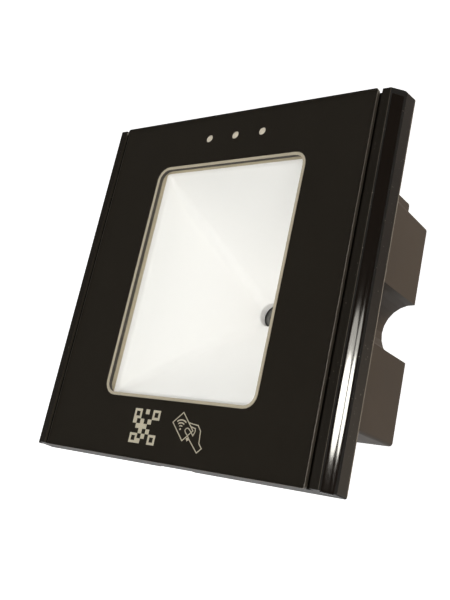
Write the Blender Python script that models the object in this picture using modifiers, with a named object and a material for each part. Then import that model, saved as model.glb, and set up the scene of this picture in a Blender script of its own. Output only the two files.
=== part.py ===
"""Flush wall QR code and card reader for a square wall box, in metres, +Z up.

The wall plane is y = 0 and the origin is at the centre of the frame's rear face in that plane. The
front faces -Y, and +X is on the right of someone who faces the reader.
"""
import math

import bmesh
import bpy
from mathutils import Matrix, Vector

MM = 0.001

# Clearances and helpers' own sizes
SEAT_GAP = 0.3 * MM        # between pieces that are seated on each other
LAYER_GAP = 0.1 * MM       # between thin layers, and under a soldered piece
OVERRUN = 1.0 * MM         # how far a cut runs past the face that it opens
WELD = 0.002 * MM          # points closer than this are one point

# Front cover
PLATE_SIZE = 86.0 * MM     # width and height of the frame where it meets the wall
FRAME_CORNER = 0.45 * MM
FRAME_SIDE_DRAFT = 0.25 * MM
FRAME_END_DRAFT = 0.45 * MM
FRAME_REAR_ROUND = 0.12 * MM
RIM_WALL = 1.8 * MM
WEB_THICK = 1.5 * MM
COVER_ROOM = 1.2 * MM      # behind the web, where the status lamps stand on their board

GLASS_END_INSET = 0.2 * MM  # glass end to the frame's outline at the wall
GLASS_THICK = 0.55 * MM
GLASS_CORNER = 0.5 * MM
GLASS_ARRIS = 0.15 * MM

PRINT_THICK = 0.15 * MM
PRINT_MARGIN = 0.2 * MM
TAPE_THICK = 0.95 * MM
TAPE_MARGIN = 1.2 * MM

WINDOW_SIDE_MARGIN = 15.94 * MM  # glass edge to the clear opening inside the border ring
WINDOW_END_MARGIN = 14.05 * MM
WINDOW_CORNER = 2.6 * MM
WINDOW_RAISE = 0.45 * MM   # the window sits this much above the plate's middle
RING_WIDTH = 0.68 * MM

RAIL_GROOVE = 0.97 * MM    # gap between the glass edge and the rail
RAIL_FLAT = 1.98 * MM      # flat inner part of the rail
RAIL_DEPTH = 0.28 * MM     # how far the flat part lies behind the glass face
RIDGE_ROUND = 0.4 * MM
BEVEL_RUN = 2.4 * MM       # the rail's bevel, across the front and back towards the wall
BEVEL_FALL = 2.77 * MM
BEVEL_INSET = 0.2 * MM     # bevel's outer edge to the frame's outline at the wall
STRIP_END_INSET = 1.7 * MM
STRIP_MARGIN = 0.51 * MM   # trim strip to the bevel's edges
STRIP_CORNER = 0.7 * MM
STRIP_THICK = 0.7 * MM
STRIP_STAND = 0.08 * MM    # the strip stands this much out of its bevel
STRIP_CROWN = 0.15 * MM
STRIP_FIT = 0.08 * MM

BEAD_LENGTH = 12.0 * MM
BEAD_RADIUS = 0.22 * MM
BEAD_INSET = 17.2 * MM     # snap bead's middle to the rim's side
BEAD_Y = 0.65 * MM
PRY_WIDTH = 10.0 * MM
PRY_DEPTH = 1.0 * MM

LAMP_RAISE = 0.6 * MM      # above the middle between the window and the glass end
LAMP_PITCH = 8.0 * MM
LAMP_RADIUS = 1.0 * MM
PIPE_RADIUS = 1.2 * MM
PIPE_HEAD = 0.5 * MM
PIPE_FIT = 0.15 * MM

# Base plate and back box
BASE_GAP = 0.35 * MM       # running gap between the cover's rim and the base plate
BASE_THICK = 1.3 * MM
BASE_CORNER = 0.8 * MM
BOX_SIDE_INSET = 9.4 * MM  # frame's outline to the box's side
BOX_DEPTH = 33.5 * MM      # wall plane to the box's rear face
BOX_WALL = 1.6 * MM
BOX_CORNER = 0.8 * MM
BOX_DRAFT = 0.4 * MM
BOX_EDGE_ROUND = 0.4 * MM
CHANNEL_RADIUS = 7.25 * MM  # half-round channel for the wall box's screw post
CHANNEL_INSET = 0.25 * MM
RIB_WIDTH = 2.0 * MM
RIB_HEIGHT = 1.6 * MM
RIB_LENGTH = 22.3 * MM
RIB_SLOPE = 0.4 * MM
SCREW_INSET = 12.85 * MM   # frame's outline to the wall box's screws, which are 60.3 mm apart
SLOT_LENGTH = 7.6 * MM
SLOT_WIDTH = 4.8 * MM
SEAT_MARGIN = 1.75 * MM    # how far the screw head's recess runs past its slot all round
SEAT_DEPTH = 0.3 * MM

# Reflector
SEAL_WALL = 1.15 * MM
SEAL_THICK = 1.1 * MM
REFLECTOR_WALL = 1.2 * MM
WELL_FIT = 0.1 * MM        # the well is this much wider than the ring's opening
WELL_DRAFT = 0.1 * MM
LEDGE_SIDE = 0.35 * MM     # width of the sloping ledge between the well's wall and the funnel
LEDGE_END = 3.1 * MM
LEDGE_FALL = 0.4 * MM
LEDGE_CORNER = 3.4 * MM
NECK_SIDE_WALL = 1.4 * MM
NECK_END_WALL = 0.9 * MM
NECK_GAP = 0.5 * MM        # funnel's neck to the box's mouth
MOUTH_FALL = 1.9 * MM      # the mouth narrows by this much from the base plate's face to the cavity
LENS_HOLE_RADIUS = 3.1 * MM
FUNNEL_END_THICK = 2.2 * MM
FUNNEL_END_RADIUS = 4.4 * MM
FLANGE_THICK = 0.65 * MM
FLANGE_SIDE = 1.45 * MM    # flange outside the well's wall
FLANGE_END = 3.25 * MM
FLANGE_CORNER = 3.0 * MM
FLANGE_SCREW_SIDE = 6.4 * MM
FLANGE_SCREW_END = 1.6 * MM

# Boards
BOARD_GAP = 0.15 * MM      # antenna board to the base plate
ANTENNA_THICK = 0.8 * MM
ANTENNA_SIDE_INSET = 2.85 * MM  # base plate's edge to the antenna board's
ANTENNA_END_INSET = 0.85 * MM
ANTENNA_CORNER = 1.5 * MM
ANTENNA_SCREW_INSET = 3.0 * MM
EAR_CLEARANCE = 0.45 * MM  # antenna board to the screw heads' recesses
MAIN_THICK = 1.6 * MM
MAIN_STANDOFF = 2.6 * MM   # main board to the box's rear wall
BOARD_EDGE_GAP = 0.9 * MM
LIGHT_THICK = 1.0 * MM
LIGHT_EDGE_GAP = 2.2 * MM
LIGHT_OPENING_GAP = 0.75 * MM  # funnel's neck to the edge of the opening round it
LIGHT_OPENING_CORNER = 2.0 * MM
BOARD_CORNER = 1.0 * MM
SPACER_SIDE_INSET = 9.5 * MM   # box's inner wall to the spacers' middles
SPACER_END_INSET = 6.1 * MM
SPACER_LENGTH = 6.1 * MM
SPACER_RADIUS = 2.3 * MM
STUD_RADIUS = 1.0 * MM
STUD_LENGTH = 3.0 * MM
POST_RADIUS = 2.6 * MM
SCREW_RADIUS = 0.8 * MM
SCREW_HEAD_RADIUS = 1.4 * MM
SCREW_HEAD = 0.75 * MM
SCREW_SOCKET_RADIUS = 0.6 * MM
SCREW_SOCKET = 0.4 * MM
SHORT_SCREW = 1.5 * MM
LONG_SCREW = 3.5 * MM
HOLE_GAP = 0.2 * MM

# Camera
HOLDER_SIZE = 8.5 * MM
HOLDER_DEPTH = 1.9 * MM
HOLDER_WALL = 1.1 * MM
HOLDER_ROUND = 0.4 * MM
BARREL_RADIUS = 2.5 * MM
BARREL_RIM_RADIUS = 2.9 * MM
BARREL_RIM = 0.7 * MM
BARREL_RIM_GAP = 0.225 * MM    # barrel's rim to the holder
BARREL_SENSOR_GAP = 0.525 * MM
LENS_RADIUS = 1.75 * MM
LENS_CROWN = 0.35 * MM
LENS_THICK = 0.6 * MM
SENSOR_SIZE = 5.0 * MM
SENSOR_THICK = 0.5 * MM

# Electronic pieces: width, height and thickness as soldered
PROCESSOR_SIZE = (12.0 * MM, 12.0 * MM, 1.2 * MM)
MEMORY_SIZE = (6.0 * MM, 5.0 * MM, 1.0 * MM)
INDUCTOR_SIZE = (6.0 * MM, 6.0 * MM, 2.8 * MM)
READER_CHIP_SIZE = (5.0 * MM, 5.0 * MM, 0.8 * MM)
ANTENNA_PLUG_SIZE = (3.0 * MM, 8.0 * MM, 1.1 * MM)
MAIN_PLUG_SIZE = (2.4 * MM, 8.0 * MM, 3.2 * MM)
INDUCTOR_ROUND = 1.2 * MM
LINK_WIDTH = 7.6 * MM
LINK_HEIGHT = 5.0 * MM
CHIP_EDGE = 0.15 * MM
MEMORY_GAP = 1.5 * MM      # processor to memory chip
READER_CHIP_INSET = 5.5 * MM
ANTENNA_PLUG_INSET = 4.2 * MM  # box's inner wall to the middle of the plug
MAIN_PLUG_INSET = 4.4 * MM
SOUNDER_RADIUS = 4.5 * MM
SOUNDER_HEIGHT = 5.0 * MM
SOUNDER_HOLE = 1.0 * MM
SOUNDER_HOLE_DEPTH = 1.5 * MM
CAPACITOR_RADIUS = 2.5 * MM
CAPACITOR_HEIGHT = 5.4 * MM
CAPACITOR_BASE = 5.4 * MM
CAPACITOR_BASE_THICK = 0.9 * MM
CAPACITOR_BASE_CORNER = 0.5 * MM
CAPACITOR_GAP = 1.0 * MM
CAPACITOR_COUNT = 2
LED_SIZE = 1.6 * MM
LED_HEIGHT = 0.8 * MM
LED_THICK = 0.55 * MM
WHITE_LED_SIZE = 3.0 * MM
WHITE_LED_THICK = 0.8 * MM
FLEX_WIDTH = 7.0 * MM
FLEX_THICK = 0.25 * MM
FLEX_WALL_GAP = 1.45 * MM
FLEX_CHANNEL_GAP = 0.65 * MM
FLEX_BEND = 0.9 * MM

# Middles on their boards, as shares of the board's half width and half height
PROCESSOR_SHARES = (-0.45, 0.23)
MEMORY_HEIGHT_SHARE = 0.625
INDUCTOR_SHARES = (0.434, 0.262)
LINK_SHARES = (0.37, 0.71)
SOUNDER_SHARES = (-0.29, -0.524)
CAPACITOR_SHARES = (0.113, -0.585)
SOCKET_HEIGHT_SHARE = -0.4435
WHITE_LED_SHARES = (0.57, 0.553)
READER_CHIP_HEIGHT_SHARE = 0.55

SOCKET_WIDTH = 17.6 * MM
SOCKET_HEIGHT = 7.2 * MM
SOCKET_WALL = 0.9 * MM
SOCKET_FLOOR = 1.0 * MM
SOCKET_REACH = 0.1 * MM    # the socket's mouth stands this much behind the rear wall's face
PIN_COUNT = 4
PIN_PITCH = 3.81 * MM
PIN_SIZE = 1.0 * MM
PIN_INSET = 0.7 * MM

# Places that follow from the sizes above, from the wall plane to the front
BASE_Y = -BASE_THICK
ANTENNA_BACK_Y = BASE_Y - BOARD_GAP
ANTENNA_Y = ANTENNA_BACK_Y - ANTENNA_THICK
WEB_BACK_Y = ANTENNA_Y - COVER_ROOM
WEB_Y = WEB_BACK_Y - WEB_THICK
TAPE_BACK_Y = WEB_Y - LAYER_GAP
TAPE_Y = TAPE_BACK_Y - TAPE_THICK
PRINT_BACK_Y = TAPE_Y - LAYER_GAP
PRINT_Y = PRINT_BACK_Y - PRINT_THICK
GLASS_BACK_Y = PRINT_Y - LAYER_GAP
FRONT_Y = GLASS_BACK_Y - GLASS_THICK
RAIL_Y = FRONT_Y + RAIL_DEPTH
BEVEL_Y = RAIL_Y + BEVEL_FALL
SEAL_Y = TAPE_BACK_Y + LAYER_GAP
SEAL_BACK_Y = SEAL_Y + SEAL_THICK
REFLECTOR_Y = SEAL_BACK_Y + LAYER_GAP
FLANGE_BACK_Y = BASE_Y - LAYER_GAP
FLANGE_Y = FLANGE_BACK_Y - FLANGE_THICK
LEDGE_Y = FLANGE_Y + LEDGE_FALL
SEAT_Y = BASE_Y + SEAT_DEPTH

# From the wall plane to the rear
BOX_FLOOR_Y = BOX_DEPTH - BOX_WALL
MAIN_BACK_Y = BOX_FLOOR_Y - MAIN_STANDOFF
MAIN_Y = MAIN_BACK_Y - MAIN_THICK
POST_Y = MAIN_BACK_Y + SEAT_GAP
SPACER_BACK_Y = MAIN_Y - SEAT_GAP
SPACER_Y = SPACER_BACK_Y - SPACER_LENGTH
LIGHT_BACK_Y = SPACER_Y - SEAT_GAP
LIGHT_Y = LIGHT_BACK_Y - LIGHT_THICK
HOLDER_BACK_Y = MAIN_Y - LAYER_GAP
HOLDER_Y = HOLDER_BACK_Y - HOLDER_DEPTH
SENSOR_Y = HOLDER_BACK_Y - SENSOR_THICK
BARREL_Y = HOLDER_Y - BARREL_RIM_GAP - BARREL_RIM
LENS_Y = BARREL_Y - LENS_CROWN / 2
FUNNEL_BACK_Y = LENS_Y - SEAT_GAP
LENS_HOLE_Y = FUNNEL_BACK_Y - FUNNEL_END_THICK

# From the frame's outline inwards
HALF = PLATE_SIZE / 2
BEVEL_X = HALF - BEVEL_INSET
RIDGE_X = BEVEL_X - BEVEL_RUN
GROOVE_X = RIDGE_X - RAIL_FLAT
GLASS_X = GROOVE_X - RAIL_GROOVE
GLASS_Z = HALF - GLASS_END_INSET
WINDOW_X = GLASS_X - WINDOW_SIDE_MARGIN
WINDOW_Z = GLASS_Z - WINDOW_END_MARGIN
LAMP_Z = (WINDOW_RAISE + WINDOW_Z + GLASS_Z) / 2 + LAMP_RAISE
STRIP_HALF_LENGTH = HALF - STRIP_END_INSET
STRIP_HALF_WIDTH = math.hypot(BEVEL_RUN, BEVEL_FALL) / 2 - STRIP_MARGIN
RIM_INNER = HALF - RIM_WALL
BASE_HALF = RIM_INNER - BASE_GAP
BEAD_X = RIM_INNER - BEAD_INSET
WELL_X = WINDOW_X + WELL_FIT
WELL_Z = WINDOW_Z + WELL_FIT
WELL_OUT_X = WELL_X + REFLECTOR_WALL
WELL_OUT_Z = WELL_Z + REFLECTOR_WALL
WEB_OPENING_X = WELL_OUT_X + SEAT_GAP
WEB_OPENING_Z = WELL_OUT_Z + SEAT_GAP
LEDGE_X = WELL_X - LEDGE_SIDE
LEDGE_Z = WELL_Z - LEDGE_END
NECK_X = LEDGE_X + NECK_SIDE_WALL
NECK_Z = LEDGE_Z + NECK_END_WALL
FLANGE_X = WELL_OUT_X + FLANGE_SIDE
FLANGE_Z = WELL_OUT_Z + FLANGE_END
REFLECTOR_SCREW_X = FLANGE_X - FLANGE_SCREW_SIDE
REFLECTOR_SCREW_Z = FLANGE_Z - FLANGE_SCREW_END
ANTENNA_X = BASE_HALF - ANTENNA_SIDE_INSET
ANTENNA_Z = BASE_HALF - ANTENNA_END_INSET
ANTENNA_INNER_X = FLANGE_X + 2 * SEAT_GAP
ANTENNA_INNER_Z = FLANGE_Z + 2 * SEAT_GAP
ANTENNA_SCREW_X = ANTENNA_X - ANTENNA_SCREW_INSET
ANTENNA_SCREW_Z = (ANTENNA_INNER_Z + ANTENNA_Z) / 2
EAR_X = HALF - SCREW_INSET
SEAT_LENGTH = SLOT_LENGTH + 2 * SEAT_MARGIN
SEAT_WIDTH = SLOT_WIDTH + 2 * SEAT_MARGIN
EAR_CLEAR_RADIUS = SEAT_LENGTH / 2 + EAR_CLEARANCE
BOX_X = HALF - BOX_SIDE_INSET
CHANNEL_X = BOX_X - CHANNEL_INSET
CAVITY_X = BOX_X - BOX_WALL
MOUTH_X = NECK_X + NECK_GAP
MOUTH_Z = NECK_Z + NECK_GAP
CAVITY_Z = MOUTH_Z + WINDOW_RAISE - MOUTH_FALL
BOX_Z = CAVITY_Z + BOX_WALL
CAVITY_CHANNEL = CHANNEL_RADIUS + BOX_WALL
MAIN_X = CAVITY_X - BOARD_EDGE_GAP
MAIN_Z = CAVITY_Z - BOARD_EDGE_GAP
LIGHT_X = CAVITY_X - LIGHT_EDGE_GAP
LIGHT_Z = CAVITY_Z - LIGHT_EDGE_GAP
SPACER_X = CAVITY_X - SPACER_SIDE_INSET
SPACER_Z = CAVITY_Z - SPACER_END_INSET
PLUG_Z = CAVITY_CHANNEL + FLEX_CHANNEL_GAP + FLEX_WIDTH / 2
FLEX_X = CAVITY_X - FLEX_WALL_GAP
SOCKET_Z = SOCKET_HEIGHT_SHARE * MAIN_Z
SPACER_PLACES = [(sx * SPACER_X, sz * SPACER_Z) for sx in (-1, 1) for sz in (-1, 1)]
LAMP_PLACES = {"left": -LAMP_PITCH, "middle": 0, "right": LAMP_PITCH}


def clear_scene():
    for item in list(bpy.data.objects):
        bpy.data.objects.remove(item, do_unlink=True)


def collection(name):
    group = bpy.data.collections.new(name)
    bpy.context.scene.collection.children.link(group)
    return group


def material(name, colour, roughness, metallic=0.0, transmission=0.0):
    """A Principled material of one colour, roughness and metallic value."""
    result = bpy.data.materials.new(name)
    result.use_nodes = True
    shader = result.node_tree.nodes["Principled BSDF"]
    shader.inputs["Base Color"].default_value = (*colour, 1.0)
    shader.inputs["Roughness"].default_value = roughness
    shader.inputs["Metallic"].default_value = metallic
    shader.inputs["Transmission Weight"].default_value = transmission
    return result


def add_object(name, mesh, group, finish=None):
    item = bpy.data.objects.new(name, mesh)
    group.objects.link(item)
    if finish is not None:
        mesh.materials.clear()
        mesh.materials.append(finish)
    return item


def mesh_from(name, bm):
    """A new mesh of the bmesh, with its points welded and its faces pointing out."""
    bmesh.ops.remove_doubles(bm, verts=bm.verts, dist=WELD)
    bmesh.ops.recalc_face_normals(bm, faces=bm.faces)
    mesh = bpy.data.meshes.new(name)
    bm.to_mesh(mesh)
    bm.free()
    return mesh


def rounded_rectangle(half_x, half_z, radius, middle_x=0.0, middle_z=0.0, steps=5):
    """Points of a rectangle with round corners, anticlockwise from the right side's lower corner."""
    points = []
    for quarter, (sx, sz) in enumerate(((1, -1), (1, 1), (-1, 1), (-1, -1))):
        corner_x = middle_x + sx * (half_x - radius)
        corner_z = middle_z + sz * (half_z - radius)
        start = math.radians(90 * (quarter - 1))
        for step in range(steps + 1):
            angle = start + math.radians(90) * step / steps
            points.append((corner_x + radius * math.cos(angle), corner_z + radius * math.sin(angle)))
    return points


def circle_points(radius, middle_x=0.0, middle_z=0.0, steps=16):
    return [
        (
            middle_x + radius * math.cos(math.tau * step / steps),
            middle_z + radius * math.sin(math.tau * step / steps),
        )
        for step in range(steps)
    ]


def slot_points(length, width, middle_x, middle_z, steps=6):
    """A slot along x with round ends."""
    return rounded_rectangle(length / 2, width / 2, width / 2, middle_x, middle_z, steps)


def channelled_outline(half_x, half_z, corner, channel_radius, steps=12):
    """A rectangle with round corners and a round channel bitten out of the middle of each side."""
    reach = half_x - CHANNEL_X
    bite = math.sqrt(channel_radius**2 - reach**2)
    span = math.atan2(bite, reach)
    right = []
    for step in range(steps + 1):
        angle = -span + (2 * span - math.tau) * step / steps
        right.append((CHANNEL_X + channel_radius * math.cos(angle), channel_radius * math.sin(angle)))
    corners = rounded_rectangle(half_x, half_z, corner, steps=4)
    per_corner = len(corners) // 4
    lower_right = corners[:per_corner]
    upper_right = corners[per_corner : 2 * per_corner]
    left = [(-x, -z) for x, z in right]
    return lower_right + right + upper_right + [(-x, -z) for x, z in lower_right] + left + [
        (-x, -z) for x, z in upper_right
    ]


def outline_mesh(name, loops, low, high, along="Y"):
    """A flat outline, with any further loops as its holes, as a solid between two planes.

    Along Y the loops hold x and z, and along Z they hold x and y.
    """
    curve = bpy.data.curves.new(name, "CURVE")
    curve.dimensions = "2D"
    curve.fill_mode = "BOTH"
    curve.extrude = (high - low) / 2
    for loop in loops:
        spline = curve.splines.new("POLY")
        spline.points.add(len(loop) - 1)
        spline.use_cyclic_u = True
        for point, place in zip(spline.points, loop):
            point.co = (place[0], place[1], 0, 1)
    guide = bpy.data.objects.new(name, curve)
    bpy.context.scene.collection.objects.link(guide)
    if along == "Y":
        guide.matrix_world = Matrix.Translation((0, (low + high) / 2, 0)) @ Matrix.Rotation(
            math.radians(90), 4, "X"
        )
    else:
        guide.matrix_world = Matrix.Translation((0, 0, (low + high) / 2))
    graph = bpy.context.evaluated_depsgraph_get()
    flat = bpy.data.meshes.new_from_object(guide.evaluated_get(graph))
    flat.transform(guide.matrix_world)
    bpy.data.objects.remove(guide, do_unlink=True)
    bpy.data.curves.remove(curve)
    bm = bmesh.new()
    bm.from_mesh(flat)
    bpy.data.meshes.remove(flat)
    return mesh_from(name, bm)


def box_mesh(name, low, high):
    bm = bmesh.new()
    size = Vector(high) - Vector(low)
    middle = (Vector(high) + Vector(low)) / 2
    bmesh.ops.create_cube(bm, size=1.0, matrix=Matrix.Translation(middle) @ Matrix.Diagonal((*size, 1.0)))
    return mesh_from(name, bm)


def towards_wall(place_x, place_y, place_z):
    """Turns a piece that is made along +Z so that it points along +Y, at a place."""
    return Matrix.Translation((place_x, place_y, place_z)) @ Matrix.Rotation(math.radians(-90), 4, "X")


def cylinder_mesh(name, radius, low, high, places, steps=16):
    """Cylinders along Y between two planes, one at each place."""
    bm = bmesh.new()
    for place_x, place_z in places:
        bmesh.ops.create_cone(
            bm,
            cap_ends=True,
            segments=steps,
            radius1=radius,
            radius2=radius,
            depth=high - low,
            matrix=towards_wall(place_x, (low + high) / 2, place_z),
        )
    return mesh_from(name, bm)


def turned_mesh(name, profile, steps=16):
    """A profile of radius and y, from the front face to the rear, turned about Y."""
    bm = bmesh.new()
    points = [bm.verts.new((radius, 0, -place_y)) for radius, place_y in profile]
    for first, second in zip(points, points[1:]):
        bm.edges.new((first, second))
    mesh = bpy.data.meshes.new(name)
    bm.to_mesh(mesh)
    bm.free()
    guide = add_object(name + "_profile", mesh, bpy.context.scene.collection)
    screw = guide.modifiers.new("turn", "SCREW")
    screw.axis = "Z"
    screw.steps = steps
    screw.render_steps = steps
    screw.use_merge_vertices = True
    screw.merge_threshold = WELD
    graph = bpy.context.evaluated_depsgraph_get()
    turned = bpy.data.meshes.new_from_object(guide.evaluated_get(graph))
    bpy.data.objects.remove(guide, do_unlink=True)
    turned.transform(Matrix.Rotation(math.radians(90), 4, "X"))
    return joined_mesh(name, [turned])


def add_copies(names, mesh, places, group, finish):
    """One object for each place, all with the same mesh, which is made about the origin's Y axis."""
    return [
        place_object(add_object(name, mesh, group, finish), place) for name, place in zip(names, places)
    ]


def place_object(item, place):
    item.location = (place[0], 0, place[1])
    return item


def numbered(name, places):
    return [f"{name}_{number}" for number in range(1, len(places) + 1)]


def joined_mesh(name, meshes):
    bm = bmesh.new()
    for mesh in meshes:
        bm.from_mesh(mesh)
        bpy.data.meshes.remove(mesh)
    return mesh_from(name, bm)


def loft_mesh(name, sections, capped=False):
    """Rings of equally many points, joined in order, and closed by caps or from the last to the first."""
    bm = bmesh.new()
    rings = [[bm.verts.new(point) for point in section] for section in sections]
    count = len(rings[0])
    if capped:
        bm.faces.new(rings[0])
        bm.faces.new(rings[-1])
    for first, second in zip(rings, rings[1:] if capped else rings[1:] + rings[:1]):
        for step in range(count):
            after = (step + 1) % count
            bm.faces.new((first[step], first[after], second[after], second[step]))
    return mesh_from(name, bm)


def boolean(item, operation, mesh, group):
    """Cuts the item with, or joins to it, a mesh that is kept as a hidden cutter."""
    cutter = add_object(mesh.name + "_cutter", mesh, group)
    cutter.display_type = "WIRE"
    cutter.hide_render = True
    change = item.modifiers.new(cutter.name, "BOOLEAN")
    change.operation = operation
    change.object = cutter
    change.solver = "EXACT"
    return item


def round_edges(item, width, steps=2, angle=50):
    bevel = item.modifiers.new("rounded_edges", "BEVEL")
    bevel.width = width
    bevel.segments = steps
    bevel.limit_method = "ANGLE"
    bevel.angle_limit = math.radians(angle)
    return item


def smooth(mesh, angle=35):
    mesh.shade_smooth()
    mesh.set_sharp_from_angle(angle=math.radians(angle))


def frame_block():
    """The frame's outer block, slightly smaller at its front, with its rear edge rounded."""
    front = FRONT_Y - OVERRUN
    mesh = outline_mesh("frame_block", [rounded_rectangle(HALF, HALF, FRAME_CORNER, steps=3)], front, 0)
    bm = bmesh.new()
    bm.from_mesh(mesh)
    bpy.data.meshes.remove(mesh)
    for vert in bm.verts:
        share = vert.co.y / FRONT_Y
        vert.co.x *= 1 - share * FRAME_SIDE_DRAFT / HALF
        vert.co.z *= 1 - share * FRAME_END_DRAFT / HALF
    rear = [
        edge
        for edge in bm.edges
        if all(abs(vert.co.y) < WELD for vert in edge.verts) and edge.calc_face_angle(0) > math.radians(50)
    ]
    bmesh.ops.bevel(
        bm, geom=rear, offset=FRAME_REAR_ROUND, segments=2, affect="EDGES", profile=0.5, clamp_overlap=True
    )
    return mesh_from("frame_block", bm)


def bevel_angle():
    return math.atan2(BEVEL_FALL, BEVEL_RUN)


def front_profile():
    """What is cut from the frame's front: the glass bay, and outside it the rails' shape."""
    angle = bevel_angle()
    outside_x = HALF + OVERRUN
    outside_y = BEVEL_Y + (outside_x - BEVEL_X) * math.tan(angle)
    centre_x = RIDGE_X - RIDGE_ROUND * math.tan(angle / 2)
    ridge = []
    for step in range(4):
        turn = angle * step / 3
        ridge.append(
            (centre_x + RIDGE_ROUND * math.sin(turn), RAIL_Y + RIDGE_ROUND * (1 - math.cos(turn)))
        )
    right = [(GROOVE_X, WEB_Y), (GROOVE_X, RAIL_Y)] + ridge
    right += [(outside_x, outside_y), (outside_x, FRONT_Y - 2 * OVERRUN)]
    return right + [(-x, y) for x, y in reversed(right)]


def on_bevel(mesh, side, inwards):
    """Moves a piece that is made flat about the origin onto the middle of a rail's bevel.

    side is 1 for the right rail and -1 for the left, and inwards is how deep it is sunk.
    """
    angle = bevel_angle()
    middle_x = (RIDGE_X + BEVEL_X) / 2 - inwards * math.sin(angle)
    middle_y = (RAIL_Y + BEVEL_Y) / 2 + inwards * math.cos(angle)
    mesh.transform(
        Matrix.Translation((side * middle_x, middle_y, 0)) @ Matrix.Rotation(side * angle, 4, "Z")
    )
    return mesh


def strip_outline(spare):
    """The trim strip's outline on its bevel, which a slot of it exceeds by spare all round."""
    return rounded_rectangle(
        STRIP_HALF_WIDTH + spare, STRIP_HALF_LENGTH + spare, STRIP_CORNER + spare, steps=4
    )


def make_front_frame(parts, cutters):
    finish = material("frame_plastic", (0.045, 0.038, 0.031), 0.5)
    frame = add_object("front_frame", frame_block(), parts, finish)
    tall = HALF + OVERRUN
    boolean(frame, "DIFFERENCE", outline_mesh("front_profile", [front_profile()], -tall, tall, "Z"), cutters)
    for side, name in ((-1, "left"), (1, "right")):
        slot_depth = STRIP_THICK - STRIP_STAND + STRIP_FIT
        slot = outline_mesh(name + "_strip_slot", [strip_outline(STRIP_FIT)], -OVERRUN, slot_depth)
        boolean(frame, "DIFFERENCE", on_bevel(slot, side, 0), cutters)
    cavity = rounded_rectangle(RIM_INNER, RIM_INNER, BASE_CORNER)
    boolean(frame, "DIFFERENCE", outline_mesh("rear_cavity", [cavity], WEB_BACK_Y, OVERRUN), cutters)
    window = rounded_rectangle(
        WEB_OPENING_X, WEB_OPENING_Z, WINDOW_CORNER + REFLECTOR_WALL, middle_z=WINDOW_RAISE
    )
    opening = outline_mesh("web_window", [window], WEB_Y - OVERRUN, WEB_BACK_Y + OVERRUN)
    boolean(frame, "DIFFERENCE", opening, cutters)
    lamps = cylinder_mesh(
        "lamp_holes",
        PIPE_RADIUS + PIPE_FIT,
        WEB_Y - OVERRUN,
        WEB_BACK_Y + OVERRUN,
        [(x, LAMP_Z) for x in LAMP_PLACES.values()],
    )
    boolean(frame, "DIFFERENCE", lamps, cutters)
    pry = box_mesh(
        "pry_notch",
        (-PRY_WIDTH / 2, -PRY_DEPTH, -HALF - OVERRUN),
        (PRY_WIDTH / 2, OVERRUN, -RIM_INNER + OVERRUN),
    )
    boolean(frame, "DIFFERENCE", pry, cutters)
    beads = []
    for side_x in (-1, 1):
        for side_z in (-1, 1):
            bm = bmesh.new()
            bmesh.ops.create_cone(
                bm,
                cap_ends=True,
                segments=8,
                radius1=BEAD_RADIUS,
                radius2=BEAD_RADIUS,
                depth=BEAD_LENGTH,
                matrix=Matrix.Translation((side_x * BEAD_X, -BEAD_Y, side_z * RIM_INNER))
                @ Matrix.Rotation(math.radians(90), 4, "Y"),
            )
            beads.append(mesh_from("bead", bm))
    boolean(frame, "UNION", joined_mesh("snap_beads", beads), cutters)
    smooth(frame.data)


def make_glass(parts):
    finish = material("panel_glass", (0.02, 0.02, 0.02), 0.03, transmission=0.9)
    outline = rounded_rectangle(GLASS_X, GLASS_Z, GLASS_CORNER, steps=3)
    glass = add_object("glass_panel", outline_mesh("glass", [outline], FRONT_Y, GLASS_BACK_Y), parts, finish)
    round_edges(glass, GLASS_ARRIS, steps=1)


def make_printed_layers(parts):
    """The black print with its openings, the window's border ring and the tape behind them."""
    half_x = GLASS_X - PRINT_MARGIN
    half_z = GLASS_Z - PRINT_MARGIN
    ring_x = WINDOW_X + RING_WIDTH
    ring_z = WINDOW_Z + RING_WIDTH
    ring_out = rounded_rectangle(ring_x, ring_z, WINDOW_CORNER + RING_WIDTH, 0.0, WINDOW_RAISE)
    ring_in = rounded_rectangle(WINDOW_X, WINDOW_Z, WINDOW_CORNER, 0.0, WINDOW_RAISE)
    print_in = rounded_rectangle(
        ring_x + LAYER_GAP, ring_z + LAYER_GAP, WINDOW_CORNER + RING_WIDTH, 0.0, WINDOW_RAISE
    )
    lamps = [circle_points(LAMP_RADIUS, x, LAMP_Z) for x in LAMP_PLACES.values()]
    outer = rounded_rectangle(half_x, half_z, GLASS_CORNER, steps=3)
    black = outline_mesh("print", [outer, print_in] + lamps, PRINT_Y, PRINT_BACK_Y)
    add_object("black_print", black, parts, material("black_ink", (0.012, 0.010, 0.009), 0.4))

    ring = outline_mesh("ring", [ring_out, ring_in], PRINT_Y, PRINT_BACK_Y)
    add_object("window_ring", ring, parts, material("ring_metal", (0.43, 0.37, 0.27), 0.35, 0.6))

    tape_out = rounded_rectangle(half_x - TAPE_MARGIN, half_z - TAPE_MARGIN, GLASS_CORNER, steps=3)
    tape_in = rounded_rectangle(WELL_X, WELL_Z, WINDOW_CORNER, 0.0, WINDOW_RAISE)
    holes = [circle_points(PIPE_RADIUS, x, LAMP_Z) for x in LAMP_PLACES.values()]
    tape = outline_mesh("tape", [tape_out, tape_in] + holes, TAPE_Y, TAPE_BACK_Y)
    add_object("glass_tape", tape, parts, material("tape", (0.02, 0.02, 0.02), 0.8))


def make_trim_strips(parts):
    finish = material("gloss_trim", (0.010, 0.010, 0.011), 0.06, 0.3)
    for side, name in ((-1, "left"), (1, "right")):
        flat = outline_mesh("strip", [strip_outline(0)], -STRIP_THICK, 0)
        sunk = STRIP_THICK - STRIP_STAND
        strip = add_object("trim_strip_" + name, on_bevel(flat, side, sunk), parts, finish)
        round_edges(strip, STRIP_CROWN, steps=2)
        smooth(strip.data)


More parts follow.
